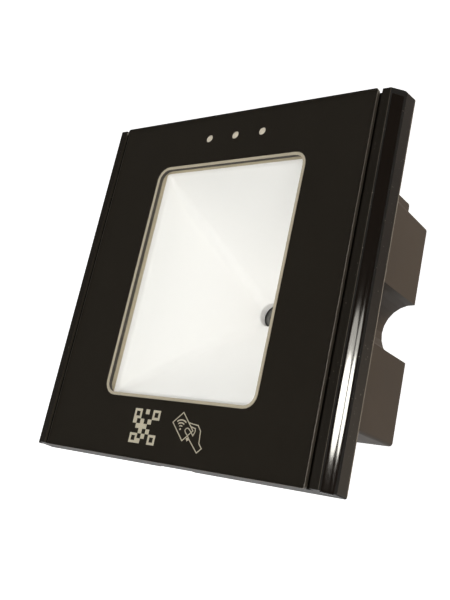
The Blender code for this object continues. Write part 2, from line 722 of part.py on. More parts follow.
def make_light_guides(parts):
    profile = [
        (0, TAPE_Y),
        (LAMP_RADIUS, TAPE_Y),
        (LAMP_RADIUS, TAPE_Y + PIPE_HEAD),
        (PIPE_RADIUS, TAPE_Y + PIPE_HEAD),
        (PIPE_RADIUS, WEB_BACK_Y),
        (0, WEB_BACK_Y),
    ]
    mesh = turned_mesh("light_guide", profile)
    smooth(mesh)
    names = ["light_guide_" + name for name in LAMP_PLACES]
    places = [(x, LAMP_Z) for x in LAMP_PLACES.values()]
    add_copies(names, mesh, places, parts, material("guide_clear", (0.75, 0.74, 0.70), 0.3))


def make_seal(parts):
    outer = rounded_rectangle(
        WELL_X + SEAL_WALL, WELL_Z + SEAL_WALL, WINDOW_CORNER + SEAL_WALL, 0.0, WINDOW_RAISE
    )
    inner = rounded_rectangle(WELL_X, WELL_Z, WINDOW_CORNER, 0.0, WINDOW_RAISE)
    mesh = outline_mesh("seal", [outer, inner], SEAL_Y, SEAL_BACK_Y)
    add_object("window_seal", mesh, parts, material("seal_foam", (0.47, 0.40, 0.28), 0.8))


def make_reflector(parts, cutters):
    """The white funnel: a flanged well behind the window that narrows to the lens hole."""
    steps = 5

    def section(half_x, half_z, corner, place_y):
        ring = rounded_rectangle(half_x, half_z, corner, 0.0, WINDOW_RAISE, steps)
        return [(x, place_y, z) for x, z in ring]

    def round_section(radius, place_y):
        return section(radius, radius, radius, place_y)

    sections = [
        section(WELL_X, WELL_Z, WINDOW_CORNER, REFLECTOR_Y),
        section(WELL_X - WELL_DRAFT, WELL_Z - WELL_DRAFT, WINDOW_CORNER, FLANGE_Y),
        section(LEDGE_X, LEDGE_Z, LEDGE_CORNER, LEDGE_Y),
        round_section(LENS_HOLE_RADIUS, LENS_HOLE_Y),
        round_section(LENS_HOLE_RADIUS, FUNNEL_BACK_Y),
        round_section(FUNNEL_END_RADIUS, FUNNEL_BACK_Y),
        section(NECK_X, NECK_Z, LEDGE_CORNER, FLANGE_BACK_Y),
        section(WELL_OUT_X, WELL_OUT_Z, WINDOW_CORNER + REFLECTOR_WALL, FLANGE_BACK_Y),
        section(WELL_OUT_X, WELL_OUT_Z, WINDOW_CORNER + REFLECTOR_WALL, REFLECTOR_Y),
    ]
    mesh = loft_mesh("reflector", sections)
    finish = material("reflector_white", (0.86, 0.85, 0.82), 0.45)
    reflector = add_object("reflector", mesh, parts, finish)
    places = [
        (sx * REFLECTOR_SCREW_X, sz * REFLECTOR_SCREW_Z + WINDOW_RAISE) for sx in (-1, 1) for sz in (-1, 1)
    ]
    outer = rounded_rectangle(FLANGE_X, FLANGE_Z, FLANGE_CORNER, 0.0, WINDOW_RAISE)
    inner = rounded_rectangle(WELL_X + WELL_FIT, WELL_Z + WELL_FIT, WINDOW_CORNER, 0.0, WINDOW_RAISE)
    holes = [circle_points(SCREW_RADIUS + HOLE_GAP, x, z) for x, z in places]
    flange = outline_mesh("reflector_flange", [outer, inner] + holes, FLANGE_Y, FLANGE_BACK_Y)
    boolean(reflector, "UNION", flange, cutters)
    smooth(reflector.data)
    return places


def screw_mesh(name, seat_y, length):
    """A small pan head screw along Y whose head rests on a plane and has a drive socket."""
    top = seat_y - SCREW_HEAD
    profile = [
        (0, top + SCREW_SOCKET),
        (SCREW_SOCKET_RADIUS, top + SCREW_SOCKET),
        (SCREW_SOCKET_RADIUS, top),
        (SCREW_HEAD_RADIUS - SCREW_HEAD / 3, top),
        (SCREW_HEAD_RADIUS, top + SCREW_HEAD / 2),
        (SCREW_HEAD_RADIUS, seat_y),
        (SCREW_RADIUS, seat_y),
        (SCREW_RADIUS, seat_y + length),
        (0, seat_y + length),
    ]
    mesh = turned_mesh(name, profile, steps=12)
    smooth(mesh)
    return mesh


def make_screws(parts, reflector_places, antenna_places):
    steel = (0.55, 0.54, 0.52)
    groups = (
        ("reflector_screw", FLANGE_Y - LAYER_GAP, SHORT_SCREW, reflector_places),
        ("antenna_screw", ANTENNA_Y - LAYER_GAP, SHORT_SCREW, antenna_places),
        ("illumination_screw", LIGHT_Y - LAYER_GAP, LONG_SCREW, SPACER_PLACES),
    )
    for name, seat, length, places in groups:
        mesh = screw_mesh(name, seat, length)
        finish = material(name + "_steel", steel, 0.3, 1.0)
        add_copies(numbered(name, places), mesh, places, parts, finish)


def chip(parts, name, size, middle, face, side, colour, roughness=0.5, edge=CHIP_EDGE):
    """A block soldered on a board's face, which it stands out of to the front (-1) or rear (1)."""
    width, height, thick = size
    middle_x, middle_z = middle
    near = face + side * LAYER_GAP
    far = near + side * thick
    low = (middle_x - width / 2, min(near, far), middle_z - height / 2)
    high = (middle_x + width / 2, max(near, far), middle_z + height / 2)
    item = add_object(name, box_mesh(name, low, high), parts, material(name + "_case", colour, roughness))
    round_edges(item, edge, steps=1)
    return item


def make_antenna_board(parts):
    """The board round the window, cut away where the wall screws' heads pass."""
    places = [(sx * ANTENNA_SCREW_X, sz * ANTENNA_SCREW_Z) for sx in (-1, 1) for sz in (-1, 1)]
    inner = rounded_rectangle(ANTENNA_INNER_X, ANTENNA_INNER_Z, FLANGE_CORNER, 0.0, WINDOW_RAISE)
    per_corner = len(inner) // 4
    bay = []
    for step in range(9):
        angle = math.radians(-90 + 180 * step / 8)
        bay.append((EAR_X + EAR_CLEAR_RADIUS * math.cos(angle), EAR_CLEAR_RADIUS * math.sin(angle)))
    right_bay = [(ANTENNA_INNER_X, -EAR_CLEAR_RADIUS)] + bay + [(ANTENNA_INNER_X, EAR_CLEAR_RADIUS)]
    left_bay = [(-x, -z) for x, z in right_bay]
    window = inner[:per_corner] + right_bay + inner[per_corner : 3 * per_corner] + left_bay
    window += inner[3 * per_corner :]
    outer = rounded_rectangle(ANTENNA_X, ANTENNA_Z, ANTENNA_CORNER)
    holes = [circle_points(SCREW_RADIUS + HOLE_GAP, x, z, 12) for x, z in places]
    mesh = outline_mesh("antenna", [outer, window] + holes, ANTENNA_Y, ANTENNA_BACK_Y)
    add_object("antenna_board", mesh, parts, material("board_green", (0.012, 0.09, 0.045), 0.45))
    chip_middle = (ANTENNA_X - READER_CHIP_INSET, READER_CHIP_HEIGHT_SHARE * ANTENNA_Z)
    chip(parts, "reader_chip", READER_CHIP_SIZE, chip_middle, ANTENNA_Y, -1, (0.02, 0.02, 0.02))
    plug_middle = (CAVITY_X - ANTENNA_PLUG_INSET, PLUG_Z)
    ivory = (0.75, 0.72, 0.62)
    chip(parts, "antenna_connector", ANTENNA_PLUG_SIZE, plug_middle, ANTENNA_BACK_Y, 1, ivory)
    lamp_back = ANTENNA_Y - LAYER_GAP
    lamp = box_mesh(
        "status_lamp",
        (-LED_SIZE / 2, lamp_back - LED_THICK, -LED_HEIGHT / 2),
        (LED_SIZE / 2, lamp_back, LED_HEIGHT / 2),
    )
    names = ["status_lamp_" + name for name in LAMP_PLACES]
    lamp_places = [(x, LAMP_Z) for x in LAMP_PLACES.values()]
    add_copies(names, lamp, lamp_places, parts, material("lamp_resin", (0.8, 0.78, 0.7), 0.3))
    return places


def make_flex_cable(parts):
    """The flat cable from the antenna board's connector, along the box wall, to the main board's."""
    start_x = CAVITY_X - ANTENNA_PLUG_INSET + ANTENNA_PLUG_SIZE[0] / 2 + LAYER_GAP
    start_y = ANTENNA_BACK_Y + LAYER_GAP + ANTENNA_PLUG_SIZE[2] / 2
    end_x = CAVITY_X - MAIN_PLUG_INSET + MAIN_PLUG_SIZE[0] / 2 + LAYER_GAP
    end_y = MAIN_Y - LAYER_GAP - MAIN_PLUG_SIZE[2] / 2
    bend_x = FLEX_X - FLEX_BEND
    line = [(start_x, start_y)]
    for step in range(5):
        angle = math.radians(90 * step / 4)
        bend_y = start_y + FLEX_BEND
        line.append((bend_x + FLEX_BEND * math.sin(angle), bend_y - FLEX_BEND * math.cos(angle)))
    for step in range(5):
        angle = math.radians(90 * step / 4)
        bend_y = end_y - FLEX_BEND
        line.append((bend_x + FLEX_BEND * math.cos(angle), bend_y + FLEX_BEND * math.sin(angle)))
    line.append((end_x, end_y))
    sides = ([], [])
    for index, (x, y) in enumerate(line):
        before = Vector(line[max(index - 1, 0)])
        after = Vector(line[min(index + 1, len(line) - 1)])
        along = (after - before).normalized()
        for side, points in zip((-1, 1), sides):
            points.append((x - side * along.y * FLEX_THICK / 2, y + side * along.x * FLEX_THICK / 2))
    low = PLUG_Z - FLEX_WIDTH / 2
    mesh = outline_mesh("flex", [sides[0] + sides[1][::-1]], low, low + FLEX_WIDTH, "Z")
    smooth(mesh)
    add_object("flex_cable", mesh, parts, material("flex_film", (0.55, 0.24, 0.05), 0.35))


def make_illumination(parts):
    """The board round the funnel's neck and the white lamps that shine through the funnel."""
    outer = channelled_outline(LIGHT_X, LIGHT_Z, BOARD_CORNER, CAVITY_CHANNEL + LIGHT_EDGE_GAP)
    along = (FUNNEL_BACK_Y - LIGHT_Y) / (FUNNEL_BACK_Y - FLANGE_BACK_Y)
    neck_x = FUNNEL_END_RADIUS + (NECK_X - FUNNEL_END_RADIUS) * along
    neck_z = FUNNEL_END_RADIUS + (NECK_Z - FUNNEL_END_RADIUS) * along
    opening = rounded_rectangle(
        neck_x + LIGHT_OPENING_GAP, neck_z + LIGHT_OPENING_GAP, LIGHT_OPENING_CORNER, 0.0, WINDOW_RAISE, 3
    )
    holes = [circle_points(SCREW_RADIUS + HOLE_GAP, x, z, 12) for x, z in SPACER_PLACES]
    mesh = outline_mesh("illumination", [outer, opening] + holes, LIGHT_Y, LIGHT_BACK_Y)
    add_object("illumination_board", mesh, parts, material("board_white", (0.7, 0.7, 0.66), 0.5))
    half = WHITE_LED_SIZE / 2
    share_x, share_z = WHITE_LED_SHARES
    places = [(sx * share_x * LIGHT_X, sz * share_z * LIGHT_Z) for sx in (-1, 1) for sz in (-1, 1)]
    back = LIGHT_Y - LAYER_GAP
    lamp = box_mesh("white_lamp", (-half, back - WHITE_LED_THICK, -half), (half, back, half))
    finish = material("phosphor", (0.85, 0.70, 0.20), 0.4)
    add_copies(numbered("illumination_lamp", places), lamp, places, parts, finish)


def make_spacers(parts):
    """Hexagonal spacers between the boards, with a stud through the main board into the housing."""
    bore = (SCREW_RADIUS + HOLE_GAP) / math.cos(math.radians(30))
    profile = [
        (0, SPACER_Y + LONG_SCREW),
        (bore, SPACER_Y + LONG_SCREW),
        (bore, SPACER_Y),
        (SPACER_RADIUS, SPACER_Y),
        (SPACER_RADIUS, SPACER_BACK_Y),
        (STUD_RADIUS, SPACER_BACK_Y),
        (STUD_RADIUS, SPACER_BACK_Y + STUD_LENGTH),
        (0, SPACER_BACK_Y + STUD_LENGTH),
    ]
    mesh = turned_mesh("board_spacer", profile, steps=6)
    finish = material("spacer_brass", (0.70, 0.50, 0.20), 0.35, 1.0)
    add_copies(numbered("board_spacer", SPACER_PLACES), mesh, SPACER_PLACES, parts, finish)


def on_main_board(shares):
    return shares[0] * MAIN_X, shares[1] * MAIN_Z


def make_main_board(parts):
    outer = channelled_outline(MAIN_X, MAIN_Z, BOARD_CORNER, CAVITY_CHANNEL + BOARD_EDGE_GAP)
    holes = [circle_points(STUD_RADIUS + HOLE_GAP, x, z, 12) for x, z in SPACER_PLACES]
    mesh = outline_mesh("main_board", [outer] + holes, MAIN_Y, MAIN_BACK_Y)
    add_object("main_board", mesh, parts, material("main_board_green", (0.012, 0.10, 0.05), 0.45))
    black = (0.02, 0.02, 0.02)
    processor_middle = on_main_board(PROCESSOR_SHARES)
    chip(parts, "processor", PROCESSOR_SIZE, processor_middle, MAIN_Y, -1, black)
    memory_x = processor_middle[0] + (PROCESSOR_SIZE[0] + MEMORY_SIZE[0]) / 2 + MEMORY_GAP
    chip(parts, "memory_chip", MEMORY_SIZE, (memory_x, MEMORY_HEIGHT_SHARE * MAIN_Z), MAIN_Y, -1, black)
    inductor_middle = on_main_board(INDUCTOR_SHARES)
    ferrite = (0.08, 0.08, 0.08)
    chip(parts, "power_inductor", INDUCTOR_SIZE, inductor_middle, MAIN_Y, -1, ferrite, 0.6, INDUCTOR_ROUND)
    link_size = (LINK_WIDTH, LINK_HEIGHT, MAIN_Y - LIGHT_BACK_Y - 2 * LAYER_GAP)
    chip(parts, "board_link", link_size, on_main_board(LINK_SHARES), MAIN_Y, -1, black)
    plug_middle = (CAVITY_X - MAIN_PLUG_INSET, PLUG_Z)
    chip(parts, "main_connector", MAIN_PLUG_SIZE, plug_middle, MAIN_Y, -1, (0.75, 0.72, 0.62))

    back = MAIN_Y - LAYER_GAP
    top = back - SOUNDER_HEIGHT
    sounder = [
        (0, top + SOUNDER_HOLE_DEPTH),
        (SOUNDER_HOLE, top + SOUNDER_HOLE_DEPTH),
        (SOUNDER_HOLE, top),
        (SOUNDER_RADIUS, top),
        (SOUNDER_RADIUS, back),
        (0, back),
    ]
    mesh = turned_mesh("sounder", sounder, steps=24)
    smooth(mesh)
    finish = material("sounder_case", (0.02, 0.02, 0.02), 0.45)
    place_object(add_object("sounder", mesh, parts, finish), on_main_board(SOUNDER_SHARES))


def make_capacitors(parts, cutters):
    """Round cans on square bases."""
    back = MAIN_Y - LAYER_GAP
    can = [
        (0, back - CAPACITOR_HEIGHT),
        (CAPACITOR_RADIUS - CHIP_EDGE, back - CAPACITOR_HEIGHT),
        (CAPACITOR_RADIUS, back - CAPACITOR_HEIGHT + CHIP_EDGE),
        (CAPACITOR_RADIUS, back - CAPACITOR_BASE_THICK / 2),
        (0, back - CAPACITOR_BASE_THICK / 2),
    ]
    mesh = turned_mesh("capacitor", can)
    smooth(mesh)
    half = CAPACITOR_BASE / 2
    first_x, place_z = on_main_board(CAPACITOR_SHARES)
    pitch = CAPACITOR_BASE + CAPACITOR_GAP
    places = [(first_x + index * pitch, place_z) for index in range(CAPACITOR_COUNT)]
    finish = material("can_metal", (0.62, 0.62, 0.62), 0.35, 0.9)
    cans = add_copies(numbered("capacitor", places), mesh, places, parts, finish)
    for item, (place_x, place_z) in zip(cans, places):
        base = outline_mesh(
            item.name + "_base",
            [rounded_rectangle(half, half, CAPACITOR_BASE_CORNER, place_x, place_z, steps=1)],
            back - CAPACITOR_BASE_THICK,
            back,
        )
        boolean(item, "UNION", base, cutters)


def make_camera(parts, cutters):
    """Lens element, barrel, holder and image sensor, on the window's middle line."""
    middle = (0, WINDOW_RAISE)
    lens_y = LENS_Y + LENS_CROWN
    lens = [(0, LENS_Y)]
    for step in range(1, 5):
        angle = math.radians(90 * step / 4)
        lens.append((LENS_RADIUS * math.sin(angle), lens_y - LENS_CROWN * math.cos(angle)))
    lens += [(LENS_RADIUS, lens_y + LENS_THICK), (0, lens_y + LENS_THICK)]
    mesh = turned_mesh("lens_element", lens, steps=20)
    smooth(mesh)
    finish = material("lens_glass", (0.05, 0.03, 0.03), 0.03)
    place_object(add_object("lens_element", mesh, parts, finish), middle)

    seat = lens_y + LENS_THICK + LAYER_GAP
    bore = LENS_RADIUS + LAYER_GAP
    light_bore = LENS_RADIUS / 2
    end = SENSOR_Y - BARREL_SENSOR_GAP
    barrel = [
        (light_bore, end),
        (light_bore, seat),
        (bore, seat),
        (bore, BARREL_Y),
        (BARREL_RIM_RADIUS, BARREL_Y),
        (BARREL_RIM_RADIUS, BARREL_Y + BARREL_RIM),
        (BARREL_RADIUS, BARREL_Y + BARREL_RIM),
        (BARREL_RADIUS, end),
        (light_bore, end),
    ]
    mesh = turned_mesh("lens_barrel", barrel, steps=20)
    smooth(mesh)
    finish = material("barrel_black", (0.02, 0.018, 0.017), 0.4)
    place_object(add_object("lens_barrel", mesh, parts, finish), middle)

    half = HOLDER_SIZE / 2
    block = box_mesh(
        "holder", (-half, HOLDER_Y, WINDOW_RAISE - half), (half, HOLDER_BACK_Y, WINDOW_RAISE + half)
    )
    finish = material("holder_black", (0.025, 0.023, 0.022), 0.5)
    holder = add_object("lens_holder", block, parts, finish)
    round_edges(holder, HOLDER_ROUND, steps=1)
    inside = half - HOLDER_WALL
    roof = HOLDER_Y + HOLDER_WALL
    room = box_mesh(
        "holder_inside",
        (-inside, roof, WINDOW_RAISE - inside),
        (inside, MAIN_Y + OVERRUN, WINDOW_RAISE + inside),
    )
    boolean(holder, "DIFFERENCE", room, cutters)
    bore_mesh = cylinder_mesh(
        "holder_bore", BARREL_RADIUS + HOLE_GAP, HOLDER_Y - OVERRUN, roof + OVERRUN, [middle], 20
    )
    boolean(holder, "DIFFERENCE", bore_mesh, cutters)

    half = SENSOR_SIZE / 2
    sensor = box_mesh(
        "sensor",
        (-half, SENSOR_Y, WINDOW_RAISE - half),
        (half, HOLDER_BACK_Y, WINDOW_RAISE + half),
    )
    add_object("image_sensor", sensor, parts, material("sensor_glass", (0.05, 0.06, 0.09), 0.1))


def make_rear_socket(parts, cutters):
    """The shrouded header for the wall wiring, on the main board's back."""
    near = MAIN_BACK_Y + LAYER_GAP
    mouth = BOX_DEPTH - SOCKET_REACH
    half_x = SOCKET_WIDTH / 2
    half_z = SOCKET_HEIGHT / 2
    socket = add_object(
        "rear_socket",
        box_mesh("socket", (-half_x, near, SOCKET_Z - half_z), (half_x, mouth, SOCKET_Z + half_z)),
        parts,
        material("socket_plastic", (0.70, 0.68, 0.60), 0.5),
    )
    floor = near + SOCKET_FLOOR
    inside = box_mesh(
        "socket_inside",
        (-half_x + SOCKET_WALL, floor, SOCKET_Z - half_z + SOCKET_WALL),
        (half_x - SOCKET_WALL, mouth + OVERRUN, SOCKET_Z + half_z - SOCKET_WALL),
    )
    boolean(socket, "DIFFERENCE", inside, cutters)
    half = PIN_SIZE / 2
    pin = box_mesh("pin", (-half, floor + LAYER_GAP, -half), (half, mouth - PIN_INSET, half))
    places = [((index - (PIN_COUNT - 1) / 2) * PIN_PITCH, SOCKET_Z) for index in range(PIN_COUNT)]
    finish = material("pin_gold", (0.75, 0.55, 0.22), 0.3, 1.0)
    add_copies(numbered("socket_pin", places), pin, places, parts, finish)


def box_block():
    """The back box's outer block: channelled sides, slightly wider and taller at the wall."""
    mesh = outline_mesh(
        "box_block",
        [channelled_outline(BOX_X, BOX_Z, BOX_CORNER, CHANNEL_RADIUS)],
        BASE_Y / 2,
        BOX_DEPTH,
    )
    bm = bmesh.new()
    bm.from_mesh(mesh)
    bpy.data.meshes.remove(mesh)
    rear = [
        edge
        for edge in bm.edges
        if all(abs(vert.co.y - BOX_DEPTH) < WELD for vert in edge.verts)
        and edge.calc_face_angle(0) > math.radians(50)
    ]
    bmesh.ops.bevel(bm, geom=rear, offset=BOX_EDGE_ROUND, segments=2, affect="EDGES", profile=0.5)
    for vert in bm.verts:
        share = 1 - vert.co.y / BOX_DEPTH
        if abs(vert.co.z) > CHANNEL_RADIUS:
            vert.co.x += math.copysign(BOX_DRAFT * share, vert.co.x)
            vert.co.z += math.copysign(BOX_DRAFT * share, vert.co.z)
    return mesh_from("box_block", bm)


def box_mouth():
    """What is cut where the funnel's neck enters the box, narrowing at 45 degrees to the cavity."""
    sections = []
    for into in (-OVERRUN, MOUTH_FALL + OVERRUN):
        corner = LEDGE_CORNER + NECK_GAP
        ring = rounded_rectangle(MOUTH_X - into, MOUTH_Z - into, corner, 0.0, WINDOW_RAISE)
        sections.append([(x, BASE_Y + into, z) for x, z in ring])
    return loft_mesh("box_mouth", sections, capped=True)


def make_rear_housing(parts, cutters, reflector_places, antenna_places):
    """Base plate and back box in one moulding, open at the front."""
    finish = material("housing_plastic", (0.078, 0.058, 0.045), 0.55)
    plate = outline_mesh("base_plate", [rounded_rectangle(BASE_HALF, BASE_HALF, BASE_CORNER)], BASE_Y, 0)
    housing = add_object("rear_housing", plate, parts, finish)
    boolean(housing, "UNION", box_block(), cutters)
    ribs = []
    for side in (-1, 1):
        inner = side * (BOX_X - RIB_WIDTH)
        outer = side * BOX_X
        profile = [
            (BASE_Y / 2, BOX_Z - BOX_WALL / 2),
            (RIB_LENGTH, BOX_Z - BOX_WALL / 2),
            (RIB_LENGTH, BOX_Z + RIB_HEIGHT - RIB_SLOPE),
            (RIB_LENGTH - RIB_SLOPE, BOX_Z + RIB_HEIGHT),
            (BASE_Y / 2, BOX_Z + RIB_HEIGHT),
        ]
        flat = outline_mesh("rib", [profile], min(inner, outer), max(inner, outer), "Z")
        flat.transform(Matrix(((0, 0, 1, 0), (1, 0, 0, 0), (0, 1, 0, 0), (0, 0, 0, 1))))
        ribs.append(flat)
    boolean(housing, "UNION", joined_mesh("guide_ribs", ribs), cutters)
    inside = channelled_outline(CAVITY_X, CAVITY_Z, BOX_CORNER, CAVITY_CHANNEL)
    cavity = outline_mesh("box_cavity", [inside], BASE_Y - OVERRUN, BOX_FLOOR_Y)
    boolean(housing, "DIFFERENCE", cavity, cutters)
    boolean(housing, "DIFFERENCE", box_mouth(), cutters)
    posts = cylinder_mesh("board_posts", POST_RADIUS, POST_Y, BOX_FLOOR_Y + BOX_WALL / 2, SPACER_PLACES)
    boolean(housing, "UNION", posts, cutters)
    stud_end = SPACER_BACK_Y + STUD_LENGTH + HOLE_GAP
    bores = cylinder_mesh("post_bores", STUD_RADIUS + HOLE_GAP, POST_Y - OVERRUN, stud_end, SPACER_PLACES, 12)
    boolean(housing, "DIFFERENCE", bores, cutters)
    for side, name in ((-1, "left"), (1, "right")):
        slot = slot_points(SLOT_LENGTH, SLOT_WIDTH, side * EAR_X, 0.0)
        slot_cut = outline_mesh(name + "_screw_slot", [slot], BASE_Y - OVERRUN, OVERRUN)
        boolean(housing, "DIFFERENCE", slot_cut, cutters)
        seat = slot_points(SEAT_LENGTH, SEAT_WIDTH, side * EAR_X, 0.0)
        seat_cut = outline_mesh(name + "_screw_seat", [seat], BASE_Y - OVERRUN, SEAT_Y)
        boolean(housing, "DIFFERENCE", seat_cut, cutters)
    pilots = cylinder_mesh(
        "pilot_holes",
        SCREW_RADIUS + HOLE_GAP,
        BASE_Y - OVERRUN,
        OVERRUN,
        reflector_places + antenna_places,
        12,
    )
    boolean(housing, "DIFFERENCE", pilots, cutters)
    mouth = box_mesh(
        "socket_mouth",
        (-SOCKET_WIDTH / 2 - SEAT_GAP, BOX_FLOOR_Y - OVERRUN, SOCKET_Z - SOCKET_HEIGHT / 2 - SEAT_GAP),
        (SOCKET_WIDTH / 2 + SEAT_GAP, BOX_DEPTH + OVERRUN, SOCKET_Z + SOCKET_HEIGHT / 2 + SEAT_GAP),
    )
    boolean(housing, "DIFFERENCE", mouth, cutters)
    smooth(housing.data)


def main():
    clear_scene()
    parts = collection("qr_code_reader")
    cutters = collection("cutters")
    make_front_frame(parts, cutters)
    make_glass(parts)
    make_printed_layers(parts)
    make_trim_strips(parts)
    make_light_guides(parts)
    make_seal(parts)
    reflector_places = make_reflector(parts, cutters)
    antenna_places = make_antenna_board(parts)
    make_screws(parts, reflector_places, antenna_places)
    make_flex_cable(parts)
    make_illumination(parts)
    make_spacers(parts)
    make_main_board(parts)
    make_capacitors(parts, cutters)
    make_camera(parts, cutters)
    make_rear_socket(parts, cutters)
    make_rear_housing(parts, cutters, reflector_places, antenna_places)


main()
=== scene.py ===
import math

import bmesh
import bpy
from mathutils import Matrix, Vector


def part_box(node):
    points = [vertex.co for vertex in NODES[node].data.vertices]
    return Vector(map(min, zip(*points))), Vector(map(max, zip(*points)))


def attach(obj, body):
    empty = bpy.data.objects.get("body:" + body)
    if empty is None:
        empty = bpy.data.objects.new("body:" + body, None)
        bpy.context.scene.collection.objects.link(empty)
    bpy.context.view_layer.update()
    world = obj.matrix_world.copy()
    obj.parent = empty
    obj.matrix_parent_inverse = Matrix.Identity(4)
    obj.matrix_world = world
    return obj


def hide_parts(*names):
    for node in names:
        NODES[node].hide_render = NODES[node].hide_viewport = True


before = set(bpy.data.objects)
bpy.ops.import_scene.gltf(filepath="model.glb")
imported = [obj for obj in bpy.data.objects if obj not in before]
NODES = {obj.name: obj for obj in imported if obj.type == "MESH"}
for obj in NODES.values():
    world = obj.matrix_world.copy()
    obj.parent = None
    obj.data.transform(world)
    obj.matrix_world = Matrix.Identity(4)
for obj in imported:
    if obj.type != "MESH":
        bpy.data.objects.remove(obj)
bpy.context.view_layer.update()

MM = 0.001
SCENE = bpy.context.scene


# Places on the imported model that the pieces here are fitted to
FRONT_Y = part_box("glass_panel")[0].y
GLASS_BACK_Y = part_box("glass_panel")[1].y
GLASS_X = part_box("glass_panel")[1].x
GLASS_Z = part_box("glass_panel")[1].z
PRINT_BACK_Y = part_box("black_print")[1].y
FUNNEL_FRONT_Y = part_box("reflector")[0].y
FUNNEL_BACK_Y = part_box("reflector")[1].y
WINDOW_RAISE = 0.45 * MM  # the window's middle above the panel's


# Node trees

def new_material(name):
    material = bpy.data.materials.new(name)
    material.use_nodes = True
    return material, material.node_tree, material.node_tree.nodes["Principled BSDF"]


def feed(tree, socket, value):
    """Links a socket to another one, or sets its value."""
    if isinstance(value, bpy.types.NodeSocket):
        tree.links.new(value, socket)
    elif socket.type == "RGBA" and len(value) == 3:
        socket.default_value = (*value, 1.0)
    else:
        socket.default_value = value


def add_node(tree, kind, inputs=None, **settings):
    """A node with its attributes set, and its inputs by name or number."""
    made = tree.nodes.new(kind)
    for key, value in settings.items():
        setattr(made, key, value)
    for key, value in (inputs or {}).items():
        feed(tree, made.inputs[key], value)
    return made


def math_node(tree, operation, *values, clamp=False):
    inputs = dict(enumerate(values))
    return add_node(tree, "ShaderNodeMath", inputs, operation=operation, use_clamp=clamp).outputs[0]


def product(tree, first, second):
    return math_node(tree, "MULTIPLY", first, second)


def above(tree, value, limit):
    return math_node(tree, "GREATER_THAN", value, limit)


def below(tree, value, limit):
    return math_node(tree, "LESS_THAN", value, limit)


def between(tree, value, low, high):
    return product(tree, above(tree, value, low), below(tree, value, high))


def magnitude(tree, value):
    return math_node(tree, "ABSOLUTE", value)


def zero_to_one(tree, value):
    """A direction's part, moved from -1...1 to 0...1."""
    return math_node(tree, "MULTIPLY_ADD", value, 0.5, 0.5)


def split(tree, vector):
    return add_node(tree, "ShaderNodeSeparateXYZ", {"Vector": vector}).outputs


def true_normal(tree):
    return split(tree, add_node(tree, "ShaderNodeNewGeometry").outputs["True Normal"])


def object_coords(tree):
    return add_node(tree, "ShaderNodeTexCoord").outputs["Object"]


def noise(tree, size, detail=2.0, roughness=0.5, coords=None, stretch=None):
    """Noise from 0 to 1 whose grains are about size across."""
    coords = coords or object_coords(tree)
    if stretch:
        coords = add_node(tree, "ShaderNodeMapping", {"Vector": coords, "Scale": stretch}).outputs[0]
    inputs = {"Vector": coords, "Scale": 1 / size, "Detail": detail, "Roughness": roughness}
    return add_node(tree, "ShaderNodeTexNoise", inputs).outputs["Fac"]


def ramp(tree, factor, stops):
    """A colour ramp whose stops are (place, value or colour)."""
    made = add_node(tree, "ShaderNodeValToRGB", {"Fac": factor})
    elements = made.color_ramp.elements
    while len(elements) < len(stops):
        elements.new(0.5)
    for element, (place, value) in zip(elements, stops):
        element.position = place
        colour = value if isinstance(value, tuple) else (value,) * 3
        element.color = (*colour, 1.0)
    return made.outputs["Color"]


def scaled(colour, factor):
    return tuple(min(channel * factor, 1.0) for channel in colour)


def mixed(tree, factor, first, second):
    """Two colours mixed by a factor."""
    return add_node(tree, "ShaderNodeMix", {0: factor, 6: first, 7: second}, data_type="RGBA").outputs[2]


def blend(tree, factor, first, second):
    """Two shaders mixed by a factor."""
    return add_node(tree, "ShaderNodeMixShader", {0: factor, 1: first, 2: second}).outputs[0]


def bump(tree, shader, height, depth):
    made = add_node(tree, "ShaderNodeBump", {"Height": height, "Distance": depth, "Strength": 1.0})
    tree.links.new(made.outputs[0], shader.inputs["Normal"])


# Materials

def moulded(
    name, colour, roughness, grain=0.16 * MM, depth=0.006 * MM, spread=0.10, patch=9 * MM, specular=0.5
):
    """Moulded plastic: fine spark-eroded grain, and slow changes of tone and gloss."""
    material, tree, shader = new_material(name)
    shader.inputs["Specular IOR Level"].default_value = specular
    slow = noise(tree, patch, 3.0)
    fine = noise(tree, grain, 2.0, 0.6)
    tone = ramp(tree, slow, [(0.3, scaled(colour, 1 - spread)), (0.7, scaled(colour, 1 + spread))])
    speck = mixed(tree, product(tree, fine, 0.25), tone, scaled(colour, 1 + 2 * spread))
    tree.links.new(speck, shader.inputs["Base Color"])
    gloss = ramp(tree, slow, [(0.25, roughness * 0.92), (0.75, roughness * 1.08)])
    tree.links.new(gloss, shader.inputs["Roughness"])
    if depth:
        bump(tree, shader, fine, depth)
    return material


def metal(name, colour, roughness, brush=(1.0, 1.0, 1.0)):
    """Metal with fine lines, drawn out by the brush's stretch."""
    material, tree, shader = new_material(name)
    shader.inputs["Metallic"].default_value = 1.0
    lines = noise(tree, 0.25 * MM, 3.0, 0.6, stretch=brush)
    tone = ramp(tree, lines, [(0.25, scaled(colour, 0.8)), (0.75, scaled(colour, 1.1))])
    tree.links.new(tone, shader.inputs["Base Color"])
    gloss = ramp(tree, lines, [(0.2, roughness * 0.8), (0.8, roughness * 1.25)])
    tree.links.new(gloss, shader.inputs["Roughness"])
    bump(tree, shader, lines, 0.004 * MM)
    return material


def board(name, mask, copper, tracks):
    """A circuit board: solder mask with the copper tracks faintly raised under it."""
    material, tree, shader = new_material(name)
    line = tracks(tree, object_coords(tree))
    weave = noise(tree, 0.5 * MM, 2.0)
    under = mixed(tree, product(tree, weave, 0.4), mask, scaled(mask, 1.5))
    tree.links.new(mixed(tree, line, under, copper), shader.inputs["Base Color"])
    gloss = ramp(tree, weave, [(0.2, 0.30), (0.8, 0.42)])
    tree.links.new(gloss, shader.inputs["Roughness"])
    bump(tree, shader, line, 0.02 * MM)
    return material


